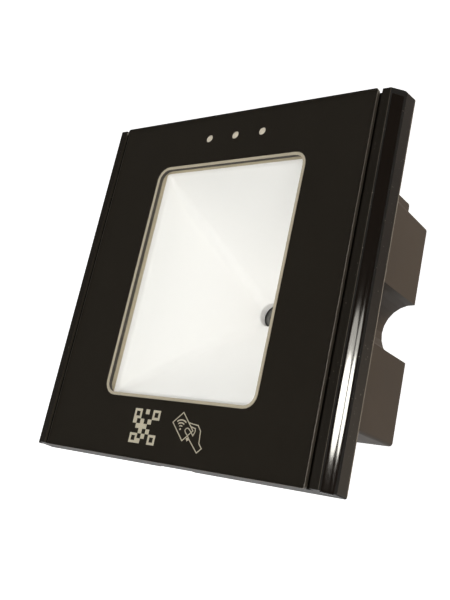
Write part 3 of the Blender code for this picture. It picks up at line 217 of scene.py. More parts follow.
TRACK_BLOCK = 5 * MM
TRACK_PITCH = 0.9 * MM
TRACK_SHARE = 0.3  # of the pitch
BARE_BLOCKS = 0.18  # about the share of blocks without tracks


def block_tracks(tree, coords):
    """Short straight tracks that turn from block to block."""
    parts = split(tree, coords)
    inputs = {"Vector": coords, "Scale": 1 / TRACK_BLOCK}
    colour = add_node(tree, "ShaderNodeTexVoronoi", inputs, distance="CHEBYCHEV").outputs["Color"]
    block = add_node(tree, "ShaderNodeSeparateColor", {"Color": colour}).outputs[0]
    along_x, along_z = (
        math_node(tree, "FRACT", product(tree, parts[axis], 1 / TRACK_PITCH)) for axis in ("X", "Z")
    )
    place = mixed(tree, above(tree, block, 0.5), along_x, along_z)
    return product(tree, below(tree, place, TRACK_SHARE), above(tree, block, BARE_BLOCKS))


COIL_X, COIL_Z = 25.0 * MM, 33.9 * MM  # about half the width and height of the board's window
COIL_PITCH = 1.1 * MM
COIL_SHARE = 0.55  # of the pitch
COIL_INSIDE, COIL_OUTSIDE = 6.0 * MM, 11.0 * MM  # from the board's window


def coil_tracks(tree, coords):
    """The aerial's turns, square rings round the window.

    The board's ends are too narrow for them, so they show along its sides only.
    """
    parts = split(tree, coords)
    across = math_node(tree, "SUBTRACT", magnitude(tree, parts["X"]), COIL_X)
    height = math_node(tree, "SUBTRACT", parts["Z"], WINDOW_RAISE)
    up = math_node(tree, "SUBTRACT", magnitude(tree, height), COIL_Z)
    far = math_node(tree, "MAXIMUM", across, up)
    turn = math_node(tree, "FRACT", math_node(tree, "DIVIDE", far, COIL_PITCH))
    return product(tree, below(tree, turn, COIL_SHARE), between(tree, far, COIL_INSIDE, COIL_OUTSIDE))


GLASS_IOR = 1.5
GLASS_TINT = (0.985, 0.99, 0.985)


def glass_material():
    """Clear glass that bends what the camera sees and lets other light straight through.

    Its edges are ground, and dark as seen from inside the glass.
    """
    material, tree, shader = new_material("panel_glass")
    tree.nodes.remove(shader)
    inside = add_node(tree, "ShaderNodeNewGeometry").outputs["Backfacing"]
    rays = add_node(tree, "ShaderNodeLightPath").outputs
    bent = math_node(tree, "MAXIMUM", rays["Is Camera Ray"], rays["Is Transmission Ray"])
    fresnel = add_node(tree, "ShaderNodeFresnel", {"IOR": GLASS_IOR}).outputs[0]
    mirror = product(tree, fresnel, math_node(tree, "SUBTRACT", 1.0, inside))
    gloss = ramp(tree, noise(tree, 9 * MM, 2.0), [(0.3, 0.0), (0.8, 0.004)])
    shine = add_node(tree, "ShaderNodeBsdfGlossy", {"Roughness": gloss}).outputs[0]
    straight = add_node(tree, "ShaderNodeBsdfTransparent", {"Color": GLASS_TINT}).outputs[0]
    through = add_node(
        tree, "ShaderNodeBsdfRefraction", {"Color": GLASS_TINT, "Roughness": 0.0, "IOR": GLASS_IOR}
    ).outputs[0]
    pane = blend(tree, mirror, blend(tree, bent, straight, through), shine)
    tone = mixed(tree, noise(tree, 0.3 * MM), (0.068, 0.056, 0.042), (0.100, 0.084, 0.062))
    ground = add_node(tree, "ShaderNodeBsdfPrincipled", {"Base Color": tone, "Roughness": 0.45}).outputs[0]
    dark = add_node(tree, "ShaderNodeBsdfDiffuse", {"Color": (0.004, 0.0035, 0.003)}).outputs[0]
    side = below(tree, magnitude(tree, true_normal(tree)["Y"]), 0.9)
    whole = blend(tree, side, pane, blend(tree, inside, ground, dark))
    tree.links.new(whole, tree.nodes["Material Output"].inputs["Surface"])
    return material


def edge_coat():
    """The dark coat at the panel's edge, ground bare on its sides."""
    material, tree, shader = new_material("edge_coat")
    side = below(tree, magnitude(tree, true_normal(tree)["Y"]), 0.5)
    bare = mixed(tree, noise(tree, 0.3 * MM), (0.052, 0.043, 0.032), (0.078, 0.066, 0.050))
    tree.links.new(mixed(tree, side, (0.0086, 0.0062, 0.0038), bare), shader.inputs["Base Color"])
    shader.inputs["Roughness"].default_value = 0.45
    return material


# How far the frame's faces turn sideways: its flats up to the first, its ridges up to the second,
# its bevels up to the third, and its sides beyond the last
FLAT, RIDGE, BEVEL, SIDE = 0.30, 0.50, 0.80, 0.90
WALL_X = 39.5 * MM  # sideways faces nearer the middle than this are inner walls
LIP_HIGHLIGHT_DEPTH = 0.35 * MM  # how far the painted highlight along the sides' back edge reaches from the frame's back
LOW_Z, PAINTED_LIGHT_SHARE = -36 * MM, 0.012  # where the painted light on the sides is strongest, and the share of its light tone there


def frame_plastic():
    """The frame's dark moulding, in tones for its flats, bevels, ridges, walls and rear lip, which paint
    light and shade by which way its faces turn.

    The flats and bevels are darker as painted shade, the ridges carry a painted highlight in patches, the
    inner walls are lighter as painted light, the rear lip carries a painted highlight, the sides grow
    lighter downwards as painted light, and dust lies on it all.
    """
    material, tree, shader = new_material("frame_plastic")
    shader.inputs["Specular IOR Level"].default_value = 0.25
    coords = object_coords(tree)
    place = split(tree, coords)
    slow = noise(tree, 8 * MM, 3.0, coords=coords)
    fine = noise(tree, 0.16 * MM, 2.0, 0.6, coords=coords)
    ridge_highlight_patches = ramp(tree, noise(tree, 1.5 * MM, 4.0, 0.7, coords=coords), [(0.3, 0.35), (0.7, 0.9)])
    dust = ramp(tree, noise(tree, 0.35 * MM, 0.0, coords=coords), [(0.80, 0.0), (0.86, 0.5)])
    sideways = magnitude(tree, true_normal(tree)["X"])
    bevel = between(tree, sideways, RIDGE, BEVEL)
    side = above(tree, sideways, SIDE)
    # painted light: the sides' share of the light tone, growing downwards to LOW_Z
    low = add_node(
        tree, "ShaderNodeMapRange", {0: place["Z"], 1: LOW_Z, 2: 0.0, 3: PAINTED_LIGHT_SHARE, 4: 0.0}
    ).outputs[0]
    layers = (
        # painted shade: the flats and the bevels are darker than the sides, standing in for the lesser
        # light on them
        (below(tree, sideways, FLAT), (0.0080, 0.0063, 0.0042)),
        (bevel, (0.0055, 0.0045, 0.0035)),
        # painted highlight along the ridges, broken into patches by noise
        (product(tree, between(tree, sideways, FLAT, RIDGE), ridge_highlight_patches), (0.085, 0.073, 0.056)),
        # painted light: the rails' inner walls are lighter, standing in for the light that falls on them
        (product(tree, side, below(tree, magnitude(tree, place["X"]), WALL_X)), (0.050, 0.042, 0.030)),
        # painted highlight along the back edge of the sides
        (
            product(tree, side, above(tree, place["Y"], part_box("front_frame")[1].y - LIP_HIGHLIGHT_DEPTH)),
            (0.120, 0.100, 0.076),
        ),
        # painted light on the sides, stronger downwards
        (product(tree, low, side), (1.0, 0.85, 0.62)),
        (dust, (0.30, 0.27, 0.22)),
    )
    colour = ramp(tree, slow, [(0.3, (0.0104, 0.0075, 0.0053)), (0.7, (0.0122, 0.0089, 0.0063))])
    for mask, tone in layers:
        colour = mixed(tree, mask, colour, tone)
    tree.links.new(colour, shader.inputs["Base Color"])
    gloss = ramp(tree, slow, [(0.25, 0.40), (0.75, 0.48)])
    tree.links.new(mixed(tree, bevel, gloss, (0.8, 0.8, 0.8)), shader.inputs["Roughness"])
    bump(tree, shader, fine, 0.006 * MM)
    return material


# The material of each node, by how its name starts. The longest start counts.
MATERIAL_OF = {
    "front_frame": "frame", "rear_housing": "housing", "glass_panel": "glass", "black_print": "ink",
    "window_ring": "ring", "glass_tape": "tape", "trim_strip": "gloss", "light_guide": "guide",
    "window_seal": "seal", "reflector": "white", "reflector_screw": "steel", "antenna_screw": "steel",
    "illumination_screw": "steel", "antenna_board": "aerial", "main_board": "main",
    "illumination_board": "light_board", "reader_chip": "chip", "processor": "chip",
    "memory_chip": "chip", "board_link": "chip", "sounder": "chip", "power_inductor": "ferrite",
    "antenna_connector": "ivory", "main_connector": "ivory", "rear_socket": "ivory",
    "flex_cable": "film", "status_lamp": "resin", "illumination_lamp": "phosphor",
    "capacitor": "can", "board_spacer": "brass", "socket_pin": "gold", "lens_element": "lens",
    "lens_barrel": "barrel", "lens_holder": "barrel", "image_sensor": "sensor",
}


def paint():
    """Gives every node of the pack its material, and returns the materials by their short names."""
    mask, copper = (0.010, 0.060, 0.030), (0.030, 0.16, 0.070)
    materials = {
        "frame": frame_plastic(),
        "housing": moulded(
            "housing_plastic", (0.0355, 0.0252, 0.0168), 0.55, 0.22 * MM, 0.010 * MM, specular=0.3
        ),
        "glass": glass_material(),
        "ink": moulded("black_ink", (0.0121, 0.0095, 0.0065), 0.5, 3 * MM, 0.0, 0.04, specular=0.1),
        "ring": moulded("ring_ink", (0.44, 0.38, 0.285), 0.4, 0.12 * MM, 0.002 * MM, 0.06),
        "sign": moulded("sign_ink", (0.50, 0.445, 0.34), 0.4, 0.12 * MM, 0.002 * MM, 0.06),
        "tape": moulded("tape", (0.050, 0.042, 0.034), 0.8, 0.2 * MM, 0.01 * MM, 0.2),
        "gloss": moulded("gloss_trim", (0.0070, 0.0048, 0.0034), 0.07, 0.6 * MM, 0.0002 * MM, 0.1),
        "guide": moulded("light_guide", (0.60, 0.53, 0.43), 0.5, 0.35 * MM, 0.03 * MM, 0.12, 1.2 * MM),
        "seal": moulded("seal_foam", (0.47, 0.40, 0.28), 0.8, 0.25 * MM, 0.02 * MM, 0.12),
        "white": moulded(
            "reflector_white", (0.955, 0.937, 0.920), 0.5, 0.3 * MM, 0.002 * MM, 0.005, 20 * MM
        ),
        "edge": edge_coat(),
        "steel": metal("screw_steel", (0.55, 0.54, 0.52), 0.3),
        "aerial": board("aerial_board", mask, copper, coil_tracks),
        "main": board("main_board", mask, copper, block_tracks),
        "light_board": board("light_board", (0.66, 0.66, 0.62), (0.74, 0.74, 0.68), block_tracks),
        "chip": moulded("chip_black", (0.020, 0.020, 0.021), 0.45, 0.08 * MM, 0.003 * MM, 0.1),
        "ferrite": moulded("inductor_grey", (0.08, 0.08, 0.08), 0.6, 0.15 * MM, 0.01 * MM, 0.15),
        "ivory": moulded("connector_ivory", (0.75, 0.72, 0.62), 0.5, 0.2 * MM, 0.003 * MM, 0.04),
        "film": moulded("flex_film", (0.55, 0.24, 0.05), 0.3, 0.3 * MM, 0.001 * MM, 0.08),
        "resin": moulded("lamp_resin", (0.80, 0.78, 0.70), 0.3, 0.2 * MM, 0.001 * MM, 0.03),
        "phosphor": moulded("phosphor", (0.85, 0.70, 0.20), 0.45, 0.15 * MM, 0.002 * MM, 0.08),
        "can": metal("can_metal", (0.62, 0.62, 0.62), 0.35, (1.0, 12.0, 1.0)),
        "brass": metal("spacer_brass", (0.70, 0.50, 0.20), 0.35, (1.0, 8.0, 1.0)),
        "gold": metal("pin_gold", (0.75, 0.55, 0.22), 0.28),
        "lens": moulded("lens_glass", (0.07, 0.068, 0.065), 0.05, 0.5 * MM, 0.0001 * MM, 0.3),
        "barrel": moulded("barrel_grey", (0.13, 0.128, 0.12), 0.4, 0.1 * MM, 0.003 * MM),
        "sensor": moulded("sensor_glass", (0.03, 0.04, 0.07), 0.08, 0.4 * MM, 0.0001 * MM, 0.3),
    }
    for name, item in NODES.items():
        start = max((s for s in MATERIAL_OF if name.startswith(s)), key=len)
        item.data.materials.clear()
        item.data.materials.append(materials[MATERIAL_OF[start]])
    return materials


# Mesh pieces

def piece(name, bm, material, body):
    bmesh.ops.recalc_face_normals(bm, faces=bm.faces)
    mesh = bpy.data.meshes.new(name)
    bm.to_mesh(mesh)
    bm.free()
    mesh.materials.append(material)
    item = bpy.data.objects.new(name, mesh)
    SCENE.collection.objects.link(item)
    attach(item, body)
    return item


def plate(bm, outline, near, far):
    """A flat polygon in x and z as a thin solid between two planes."""
    front = [bm.verts.new((x, near, z)) for x, z in outline]
    back = [bm.verts.new((x, far, z)) for x, z in outline]
    bm.faces.new(front)
    bm.faces.new(back[::-1])
    for index, vert in enumerate(front):
        after = (index + 1) % len(front)
        bm.faces.new((vert, back[index], back[after], front[after]))


def ribbon(bm, points, width, near, far, closed=False):
    """A line of one width through the points, mitred at its corners, as a thin solid."""
    count = len(points)
    left, right = [], []
    for index, point in enumerate(points):
        here = Vector(point)
        before = Vector(points[index - 1]) if closed or index > 0 else None
        after = Vector(points[(index + 1) % count]) if closed or index < count - 1 else None
        first = (here - before).normalized() if before is not None else (after - here).normalized()
        second = (after - here).normalized() if after is not None else first
        along = (first + second).normalized()
        across = Vector((-along.y, along.x))
        reach = width / 2 / max(across.dot(Vector((-first.y, first.x))), 0.4)
        left.append(here + across * reach)
        right.append(here - across * reach)
    rings = [[bm.verts.new((p.x, y, p.y)) for p in side] for side in (left, right) for y in (near, far)]
    left_near, left_far, right_near, right_far = rings
    for index in range(count if closed else count - 1):
        after = (index + 1) % count
        bm.faces.new((left_near[index], left_near[after], right_near[after], right_near[index]))
        bm.faces.new((left_far[index], right_far[index], right_far[after], left_far[after]))
        bm.faces.new((left_near[index], left_far[index], left_far[after], left_near[after]))
        bm.faces.new((right_near[index], right_near[after], right_far[after], right_far[index]))
    if not closed:
        for end in (0, count - 1):
            bm.faces.new((left_near[end], right_near[end], right_far[end], left_far[end]))


def round_rectangle(half_x, half_z, corner, middle_z=0.0, steps=6):
    """Points of a rectangle with round corners, counterclockwise from its right side."""
    points = []
    for quarter, (sx, sz) in enumerate(((1, 1), (-1, 1), (-1, -1), (1, -1))):
        for step in range(steps + 1):
            angle = math.radians(90 * (quarter + step / steps))
            x = sx * (half_x - corner) + corner * math.cos(angle)
            z = middle_z + sz * (half_z - corner) + corner * math.sin(angle)
            points.append((x, z))
    return points


def skin(bm, rings):
    """Faces between each ring of corners and the next."""
    for near, far in zip(rings, rings[1:]):
        for index in range(len(near)):
            after = (index + 1) % len(near)
            bm.faces.new((near[index], near[after], far[after], far[index]))


def loft(bm, sections):
    """A closed band through sections of (points in x and z, y), the last joined to the first."""
    rings = [[bm.verts.new((x, y, z)) for x, z in points] for points, y in sections]
    skin(bm, rings + rings[:1])


def smooth_mesh(item, degrees):
    item.data.shade_smooth()
    item.data.set_sharp_from_angle(angle=math.radians(degrees))


# The coated rim: how far its outer and inner sides lie inside the glass panel's edge
RIM_OUTER, RIM_INNER = 0.02 * MM, 0.18 * MM
RIM_CORNER = 0.5 * MM
RIM_BEHIND_GLASS, RIM_BEHIND_PRINT = 0.01 * MM, 0.25 * MM


def make_panel_edge(material):
    """The coated rim behind the glass panel's edge, outside the print."""
    bm = bmesh.new()
    near, far = GLASS_BACK_Y + RIM_BEHIND_GLASS, PRINT_BACK_Y + RIM_BEHIND_PRINT
    outer, inner = (
        round_rectangle(GLASS_X - inset, GLASS_Z - inset, RIM_CORNER - inset, steps=3)
        for inset in (RIM_OUTER, RIM_INNER)
    )
    loft(bm, [(outer, near), (inner, near), (inner, far), (outer, far)])
    piece("panel_edge", bm, material, "front_cover")


# The trim strip's section on its bevel, in mm: along the bevel from the ridge, and out of it
STRIP_SECTION = (
    (0.46, -0.45), (0.46, 0.0), (0.50, 0.045), (0.60, 0.068), (0.95, 0.098), (1.30, 0.112), (1.70, 0.110),
    (2.05, 0.096), (2.14, 0.085), (2.165, 0.04), (2.19, 0.04), (2.215, 0.085), (2.35, 0.098), (2.65, 0.104),
    (2.90, 0.092), (3.05, 0.070), (3.13, 0.035), (3.17, -0.03), (3.17, -0.45),
)
STRIP_FOOT = -0.2  # mm: points deeper than this stay when the ends sink
STRIP_RUN, STRIP_FALL = 2.40, 2.77  # the bevel's run and fall, in mm
STRIP_RIDGE_X, STRIP_RIDGE_Y = 40.4, 0.28  # mm: y is behind the glass's face
STRIP_ENDS = ((0.0, 0.06), (0.06, 0.02), (0.2, 0.0), (0.5, 0.0), (1.0, 0.0))  # mm: from an end, and sunk
STRIP_LIFT = 0.12 * MM  # its lower end above the frame's


def make_trim_strip(side, name, material):
    """A glossy trim strip of two slightly crowned facets with a fine groove between them.

    It runs on to the rail's lower end. The rings near its ends keep the long facets' normals flat.
    """
    bm = bmesh.new()
    length = math.hypot(STRIP_RUN, STRIP_FALL)
    along = (STRIP_RUN / length, STRIP_FALL / length)
    out = (along[1], -along[0])
    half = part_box(name)[1].z
    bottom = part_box("front_frame")[0].z + STRIP_LIFT
    places = [(bottom + inset * MM, sink) for inset, sink in STRIP_ENDS]
    places += [(half - inset * MM, sink) for inset, sink in STRIP_ENDS[::-1]]
    rings = []
    for place, sink in places:
        ring = []
        for s_mm, n_mm in STRIP_SECTION:
            n_mm -= sink if n_mm > STRIP_FOOT else 0
            x = STRIP_RIDGE_X + s_mm * along[0] + n_mm * out[0]
            y = STRIP_RIDGE_Y + s_mm * along[1] + n_mm * out[1]
            ring.append(bm.verts.new((side * x * MM, FRONT_Y + y * MM, place)))
        rings.append(ring)
    skin(bm, rings)
    bm.faces.new(rings[0])
    bm.faces.new(rings[-1][::-1])
    strip = piece(name + "_gloss", bm, material, "front_cover")
    smooth_mesh(strip, 30)
    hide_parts(name)


# The funnel's inner wall from its mouth, and its outer wall back to it, in mm: y, half width, half
# height and corner radius. The outer wall ends at the funnel's front.
FUNNEL_INSIDE = (
    (-3.75, 21.61, 28.85, 0.7), (-3.70, 21.60, 28.84, 0.7), (-2.95, 21.57, 28.80, 0.7),
    (-2.60, 21.55, 28.66, 0.8), (-2.30, 21.48, 28.36, 0.9), (-1.95, 21.34, 27.84, 1.1),
    (-1.45, 21.02, 27.12, 1.4), (-0.75, 20.45, 26.28, 1.8), (0.50, 19.43, 24.95, 2.2),
    (2.90, 17.48, 22.40, 2.6), (7.00, 14.15, 18.00, 2.6), (11.0, 10.90, 13.70, 2.6),
    (15.0, 7.65, 9.70, 2.6), (18.5, 4.80, 6.30, 2.7),
)
FUNNEL_OUTSIDE = (
    (2.9, 18.6, 23.1, 2.6), (0.5, 20.3, 25.5, 2.6), (-0.75, 21.6, 26.8, 2.6), (-1.42, 22.2, 27.6, 2.6),
    (-1.42, 24.2, 33.3, 3.0), (-2.05, 24.2, 33.3, 3.0), (-2.05, 22.8, 30.05, 3.8),
)
FUNNEL_END = 4.4 * MM  # the outer radius of its narrow end
LENS_HOLE = 3.1 * MM  # the radius
LENS_HOLE_Y = FUNNEL_BACK_Y - 2.2 * MM
LENS_HOLE_LIP = ((0.12, -0.10), (0.03, -0.02), (0.0, 0.08))  # mm: past the radius, and past the hole's y


def make_funnel(material):
    """The white funnel with soft bends in place of the ledge, and a rounded lip at the lens hole."""
    bm = bmesh.new()

    def ring(half_x, half_z, corner):
        return round_rectangle(half_x * MM, half_z * MM, corner * MM, WINDOW_RAISE)

    def disc(radius):
        return round_rectangle(radius, radius, radius, WINDOW_RAISE)

    sections = [(ring(x, z, corner), y * MM) for y, x, z, corner in FUNNEL_INSIDE]
    sections += [(disc(LENS_HOLE + wider * MM), LENS_HOLE_Y + y * MM) for wider, y in LENS_HOLE_LIP]
    sections += [(disc(radius), FUNNEL_BACK_Y) for radius in (LENS_HOLE, FUNNEL_END)]
    sections += [(ring(x, z, corner), y * MM) for y, x, z, corner in FUNNEL_OUTSIDE]
    sections.append((ring(*FUNNEL_OUTSIDE[-1][1:]), FUNNEL_FRONT_Y))
    loft(bm, sections)
    bmesh.ops.remove_doubles(bm, verts=bm.verts, dist=0.001 * MM)
    funnel = piece("white_funnel", bm, material, "base")
    smooth_mesh(funnel, 40)
    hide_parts("reflector")


SEAL_WALL = 1.15 * MM
SEAL_INNER_CORNER, SEAL_OUTER_CORNER = 0.7 * MM, 3.5 * MM


def make_seal(material):
    """The pale seal, trimmed almost square inside its corners."""
    bm = bmesh.new()
    low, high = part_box("window_seal")
    middle = (low.z + high.z) / 2
    inner, outer = (
        round_rectangle(high.x - inset, high.z - middle - inset, corner, middle)
        for inset, corner in ((SEAL_WALL, SEAL_INNER_CORNER), (0.0, SEAL_OUTER_CORNER))
    )
    loft(bm, [(inner, low.y), (inner, high.y), (outer, high.y), (outer, low.y)])
    seal = piece("foam_seal", bm, material, "base")
    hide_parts("window_seal")


# The signs lie in the thin gap behind the glass. The code sign's frames are two modules wide and its
# blocks one, and each is given by the column and row of its upper left corner.
SIGN_NEAR_Y = GLASS_BACK_Y + 0.03 * MM
SIGN_FAR_Y = SIGN_NEAR_Y + 0.03 * MM
CODE_MODULE = 1.113 * MM
CODE_LEFT = -10.61 * MM
CODE_TOP = -31.50 * MM
CODE_FRAMES = ((0, 0), (5, 0), (0, 5), (5, 5))
CODE_FRAME_LINE = ((0.25, 0.25), (1.75, 0.25), (1.75, 1.75), (0.25, 1.75))
CODE_BLOCKS = ((3, 0), (0, 2), (2, 2), (4, 2), (1, 3), (2, 3), (3, 3), (2, 4), (4, 4), (3, 5), (2, 6))


def make_code_sign(material):
    """A generic sign for a square code: four frames, and a few square blocks between them."""
    bm = bmesh.new()

    def corner(column, row):
        return (CODE_LEFT + column * CODE_MODULE, CODE_TOP - row * CODE_MODULE)

    for column, row in CODE_FRAMES:
        path = [corner(column + c, row + r) for c, r in CODE_FRAME_LINE]
        ribbon(bm, path, CODE_MODULE / 2, SIGN_NEAR_Y, SIGN_FAR_Y, closed=True)
    points = {}

    def point(column, row, y):
        """A corner of a block, shared with the blocks beside it."""
        key = (column, row, y)
        if key not in points:
            x, z = corner(column, row)
            points[key] = bm.verts.new((x, y, z))
        return points[key]

    for column, row in CODE_BLOCKS:
        ring = [(column, row), (column + 1, row), (column + 1, row + 1), (column, row + 1)]
        for y in (SIGN_NEAR_Y, SIGN_FAR_Y):
            bm.faces.new([point(c, r, y) for c, r in ring])
        beyond = [(column, row - 1), (column + 1, row), (column, row + 1), (column - 1, row)]
        for index, neighbour in enumerate(beyond):
            if neighbour not in CODE_BLOCKS:
                first, second = ring[index], ring[(index + 1) % 4]
                near = [point(*place, SIGN_NEAR_Y) for place in (first, second)]
                far = [point(*place, SIGN_FAR_Y) for place in (second, first)]
                bm.faces.new(near + far)
    piece("code_sign", bm, material, "front_cover")


def arc(centre, radius, start, end, steps=10):
    points = []
    for step in range(steps + 1):
        angle = math.radians(start + (end - start) * step / steps)
        points.append((centre[0] + radius * math.cos(angle), centre[1] + radius * math.sin(angle)))
    return points


# The card sign, in mm in x and z: the card's corners, the waves' centre with each wave's radius and
# angles, the line of the hand and the thumb's nail
CARD_MOVE = (0.80, -0.12)
CARD_LINE = 0.21 * MM
CARD = ((2.95, -31.09), (0.5, -33.5), (4.14, -37.18), (6.59, -34.77))
WAVE_CENTRE = (2.95, -34.77)
WAVE_LINE = 0.27 * MM
WAVES = ((0.75, 57, 123), (1.38, 53, 127), (2.02, 50, 130))
WAVE_DOT = 0.22
HAND = (
    (5.0, -33.14), (6.36, -33.36), (7.73, -33.5), (8.18, -34.05), (8.68, -34.59), (8.77, -35.59),
    (8.86, -36.41), (8.95, -37.27), (9.91, -38.23), (8.82, -39.27), (6.0, -36.68), (5.36, -35.95),
    (4.55, -35.27), (4.36, -34.86), (4.55, -34.5), (5.0, -34.32), (5.45, -34.5), (6.36, -35.32),
    (6.86, -35.82), (7.23, -34.86), (7.14, -34.23), (6.27, -34.05), (5.91, -33.95),
)
NAIL = ((5.09, -36.55), (5.45, -37.18), (6.05, -36.77), (5.64, -36.32))


def make_card_sign(material):
    """A generic sign of a hand that holds a card with radio waves on it."""
    bm = bmesh.new()

    def mm(points):
        return [((x + CARD_MOVE[0]) * MM, (z + CARD_MOVE[1]) * MM) for x, z in points]

    ribbon(bm, mm(CARD), CARD_LINE, SIGN_NEAR_Y, SIGN_FAR_Y, closed=True)
    for radius, start, end in WAVES:
        ribbon(bm, mm(arc(WAVE_CENTRE, radius, start, end)), WAVE_LINE, SIGN_NEAR_Y, SIGN_FAR_Y)
    plate(bm, mm(arc(WAVE_CENTRE, WAVE_DOT, 0, 330, 11)), SIGN_NEAR_Y, SIGN_FAR_Y)
    ribbon(bm, mm(HAND), CARD_LINE, SIGN_NEAR_Y, SIGN_FAR_Y)
    plate(bm, mm(NAIL), SIGN_NEAR_Y, SIGN_FAR_Y)
    piece("card_sign", bm, material, "front_cover")


# Camera, light and surroundings

# The camera solved from the photograph, for an image 600 pixels high: the directions of its right,
# down and ahead, its place in mm from the middle of the glass's face, and that place's scale
CAMERA_ROWS = (
    (0.78159576, 0.58730821, 0.21018358),
    (0.00702829, 0.32863582, -0.94443057),
    (-0.62374568, 0.73964016, 0.25273259),
)
CAMERA_PLACE = (123.722, -136.586, -52.194)
CAMERA_SCALE = 0.99537
FOCAL_PIXELS = 832.718
IMAGE_PIXELS = 600
SENSOR_MM = 36


def make_camera():
    right, down, ahead = (Vector(row) for row in CAMERA_ROWS)
    place = Vector([part * CAMERA_SCALE for part in CAMERA_PLACE]) * MM + Vector((0, FRONT_Y, 0))
    data = bpy.data.cameras.new("camera")
    data.sensor_fit = "VERTICAL"
    data.sensor_height = SENSOR_MM
    data.lens = FOCAL_PIXELS * SENSOR_MM / IMAGE_PIXELS
    data.clip_start = 1 * MM
    camera = bpy.data.objects.new("camera", data)
    SCENE.collection.objects.link(camera)
    turn = Matrix((right, -down, -ahead)).transposed().to_4x4()
    camera.matrix_world = Matrix.Translation(place) @ turn
    SCENE.camera = camera


# Name, place, aim, width, height and power of the lamps that light the object. No reflection shows
# them.
LAMPS = (
    ("key", (-0.35, -0.75, 0.75), (0, 0, 0), 0.6, 0.6, 2.21),
    ("low", (0.45, -0.40, -0.08), (0, 0, 0), 0.3, 0.12, 0.6),
    ("below_right", (0.20, -0.75, -0.24), (0, 0, 0), 0.5, 0.1, 3.4),
    ("below_left", (-0.45, -0.60, -0.22), (0, 0, 0), 0.4, 0.12, 0.50),
    ("near", (0.22, -0.12, -0.22), (0.04, 0, -0.03), 0.12, 0.12, 0.10),
    ("right_top", (0.24, 0.18, 0.20), (0.03, 0.02, 0.01), 0.12, 0.12, 1.9),
)
# The bright box and the grey card that the right trim strip mirrors. They light no matt surface.
MIRRORED_LAMPS = (
    ("strip_box", (0.60, -0.25, 0.0725), (0.04, 0, 0.0725 - 0.09), 0.24, 0.094, 1.75),
    ("strip_card", (0.60, -0.25, 0.118), (0.04, 0, 0.118 - 0.09), 0.24, 0.092, 0.46),
)
MIRRORED_COLOUR = (1.0, 0.97, 0.89)


def area_light(name, place, aim, width, height, power):
    data = bpy.data.lights.new(name, "AREA")
    data.shape = "RECTANGLE"
    data.size = width
    data.size_y = height
    data.energy = power
    lamp = bpy.data.objects.new(name, data)
    SCENE.collection.objects.link(lamp)
    lamp.location = place
    lamp.rotation_mode = "QUATERNION"
    lamp.rotation_quaternion = (Vector(aim) - Vector(place)).to_track_quat("-Z", "Y")
    return lamp


def make_lamps():
    for settings in LAMPS:
        area_light(*settings).visible_glossy = False
    for settings in MIRRORED_LAMPS:
        lamp = area_light(*settings)
        lamp.data.shape = "ELLIPSE"
        lamp.data.color = MIRRORED_COLOUR
        lamp.visible_diffuse = False


def make_world():
    """White to the camera, plain soft light on the object, and a dim room in its reflections.

    The room is darker to the right, and glows low behind the object.
    """
    world = bpy.data.worlds.new("studio")
    SCENE.world = world
    world.use_nodes = True
    tree = world.node_tree
    tree.nodes.clear()
    rays = add_node(tree, "ShaderNodeLightPath").outputs
    direction = split(tree, add_node(tree, "ShaderNodeTexCoord").outputs["Generated"])
    height = zero_to_one(tree, direction["Z"])
    soft = ramp(
        tree, height, [(0.35, (0.12, 0.115, 0.11)), (0.52, (0.97, 0.96, 0.94)), (0.8, (1.02, 1.02, 1.02))]
    )
    behind = math_node(tree, "MULTIPLY", direction["Y"], 2.0, clamp=True)
    glow = product(tree, behind, ramp(tree, height, [(0.50, 0.40), (0.56, 0.30), (0.66, 0.0)]))
    dim = ramp(tree, height, [(0.40, 0.05), (0.60, 0.09), (0.9, 0.09)])
    darker = ramp(tree, zero_to_one(tree, direction["X"]), [(0.60, 1.0), (0.80, 0.5)])
    lit = math_node(tree, "ADD", product(tree, dim, darker), glow)
    tone = mixed(tree, lit, (0, 0, 0), (1.0, 0.92, 0.82))
    plain, room, white = (
        add_node(tree, "ShaderNodeBackground", {"Color": colour, "Strength": strength}).outputs[0]
        for colour, strength in ((soft, 0.48), (tone, 1.0), ((1, 1, 1), 1.0))
    )
    seen = math_node(tree, "MAXIMUM", rays["Is Camera Ray"], rays["Is Transmission Ray"])
    whole = blend(tree, seen, blend(tree, rays["Is Glossy Ray"], plain, room), white)
    add_node(tree, "ShaderNodeOutputWorld", {"Surface": whole})


# The floor in metres: its front and back ends, the bend's radius, the back wall's top, and half its
# width. It is turned to lie square behind the object for the camera.
FLOOR_Z = -300 * MM
FLOOR_FRONT, FLOOR_BACK = -1.6, 0.9
FLOOR_BEND, FLOOR_TOP, FLOOR_HALF = 0.5, 2.2, 2.4
FLOOR_TURN = 40
FLOOR_STEPS = 12


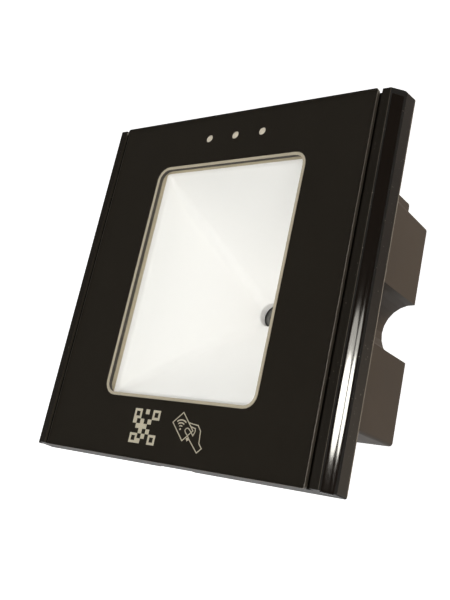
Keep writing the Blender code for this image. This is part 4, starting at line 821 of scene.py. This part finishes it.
def make_floor():
    """A pale sweep: a floor that rises behind the object, white to the camera and in reflections."""
    bm = bmesh.new()
    profile = [(FLOOR_FRONT, FLOOR_Z), (FLOOR_BACK, FLOOR_Z)]
    for step in range(1, FLOOR_STEPS + 1):
        angle = math.radians(90 * step / FLOOR_STEPS)
        y = FLOOR_BACK + FLOOR_BEND * math.sin(angle)
        profile.append((y, FLOOR_Z + FLOOR_BEND * (1 - math.cos(angle))))
    profile.append((FLOOR_BACK + FLOOR_BEND, FLOOR_TOP))
    left, right = ([bm.verts.new((x, y, z)) for y, z in profile] for x in (-FLOOR_HALF, FLOOR_HALF))
    for index in range(len(profile) - 1):
        bm.faces.new((left[index], right[index], right[index + 1], left[index + 1]))
    mesh = bpy.data.meshes.new("floor")
    bm.to_mesh(mesh)
    bm.free()
    mesh.shade_smooth()
    floor = bpy.data.objects.new("floor", mesh)
    SCENE.collection.objects.link(floor)
    floor.rotation_euler = (0, 0, math.radians(FLOOR_TURN))
    material, tree, shader = new_material("pale_floor")
    rays = add_node(tree, "ShaderNodeLightPath").outputs
    straight = math_node(tree, "MAXIMUM", rays["Is Camera Ray"], rays["Is Transmission Ray"])
    seen = math_node(tree, "MAXIMUM", straight, product(tree, rays["Is Glossy Ray"], 0.6))
    tone = mixed(tree, rays["Is Diffuse Ray"], (0.8, 0.8, 0.79), (0.12, 0.12, 0.115))
    tree.links.new(tone, shader.inputs["Base Color"])
    shader.inputs["Roughness"].default_value = 0.9
    shader.inputs["Emission Color"].default_value = (1, 1, 1, 1)
    tree.links.new(product(tree, seen, 0.8), shader.inputs["Emission Strength"])
    mesh.materials.append(material)


def main():
    SCENE.view_settings.view_transform = "Standard"
    make_camera()
    make_world()
    make_floor()
    materials = paint()
    make_panel_edge(materials["edge"])
    for side, name in ((-1, "trim_strip_left"), (1, "trim_strip_right")):
        make_trim_strip(side, name, materials["gloss"])
    make_funnel(materials["white"])
    make_seal(materials["seal"])
    make_code_sign(materials["sign"])
    make_card_sign(materials["sign"])
    make_lamps()


main()
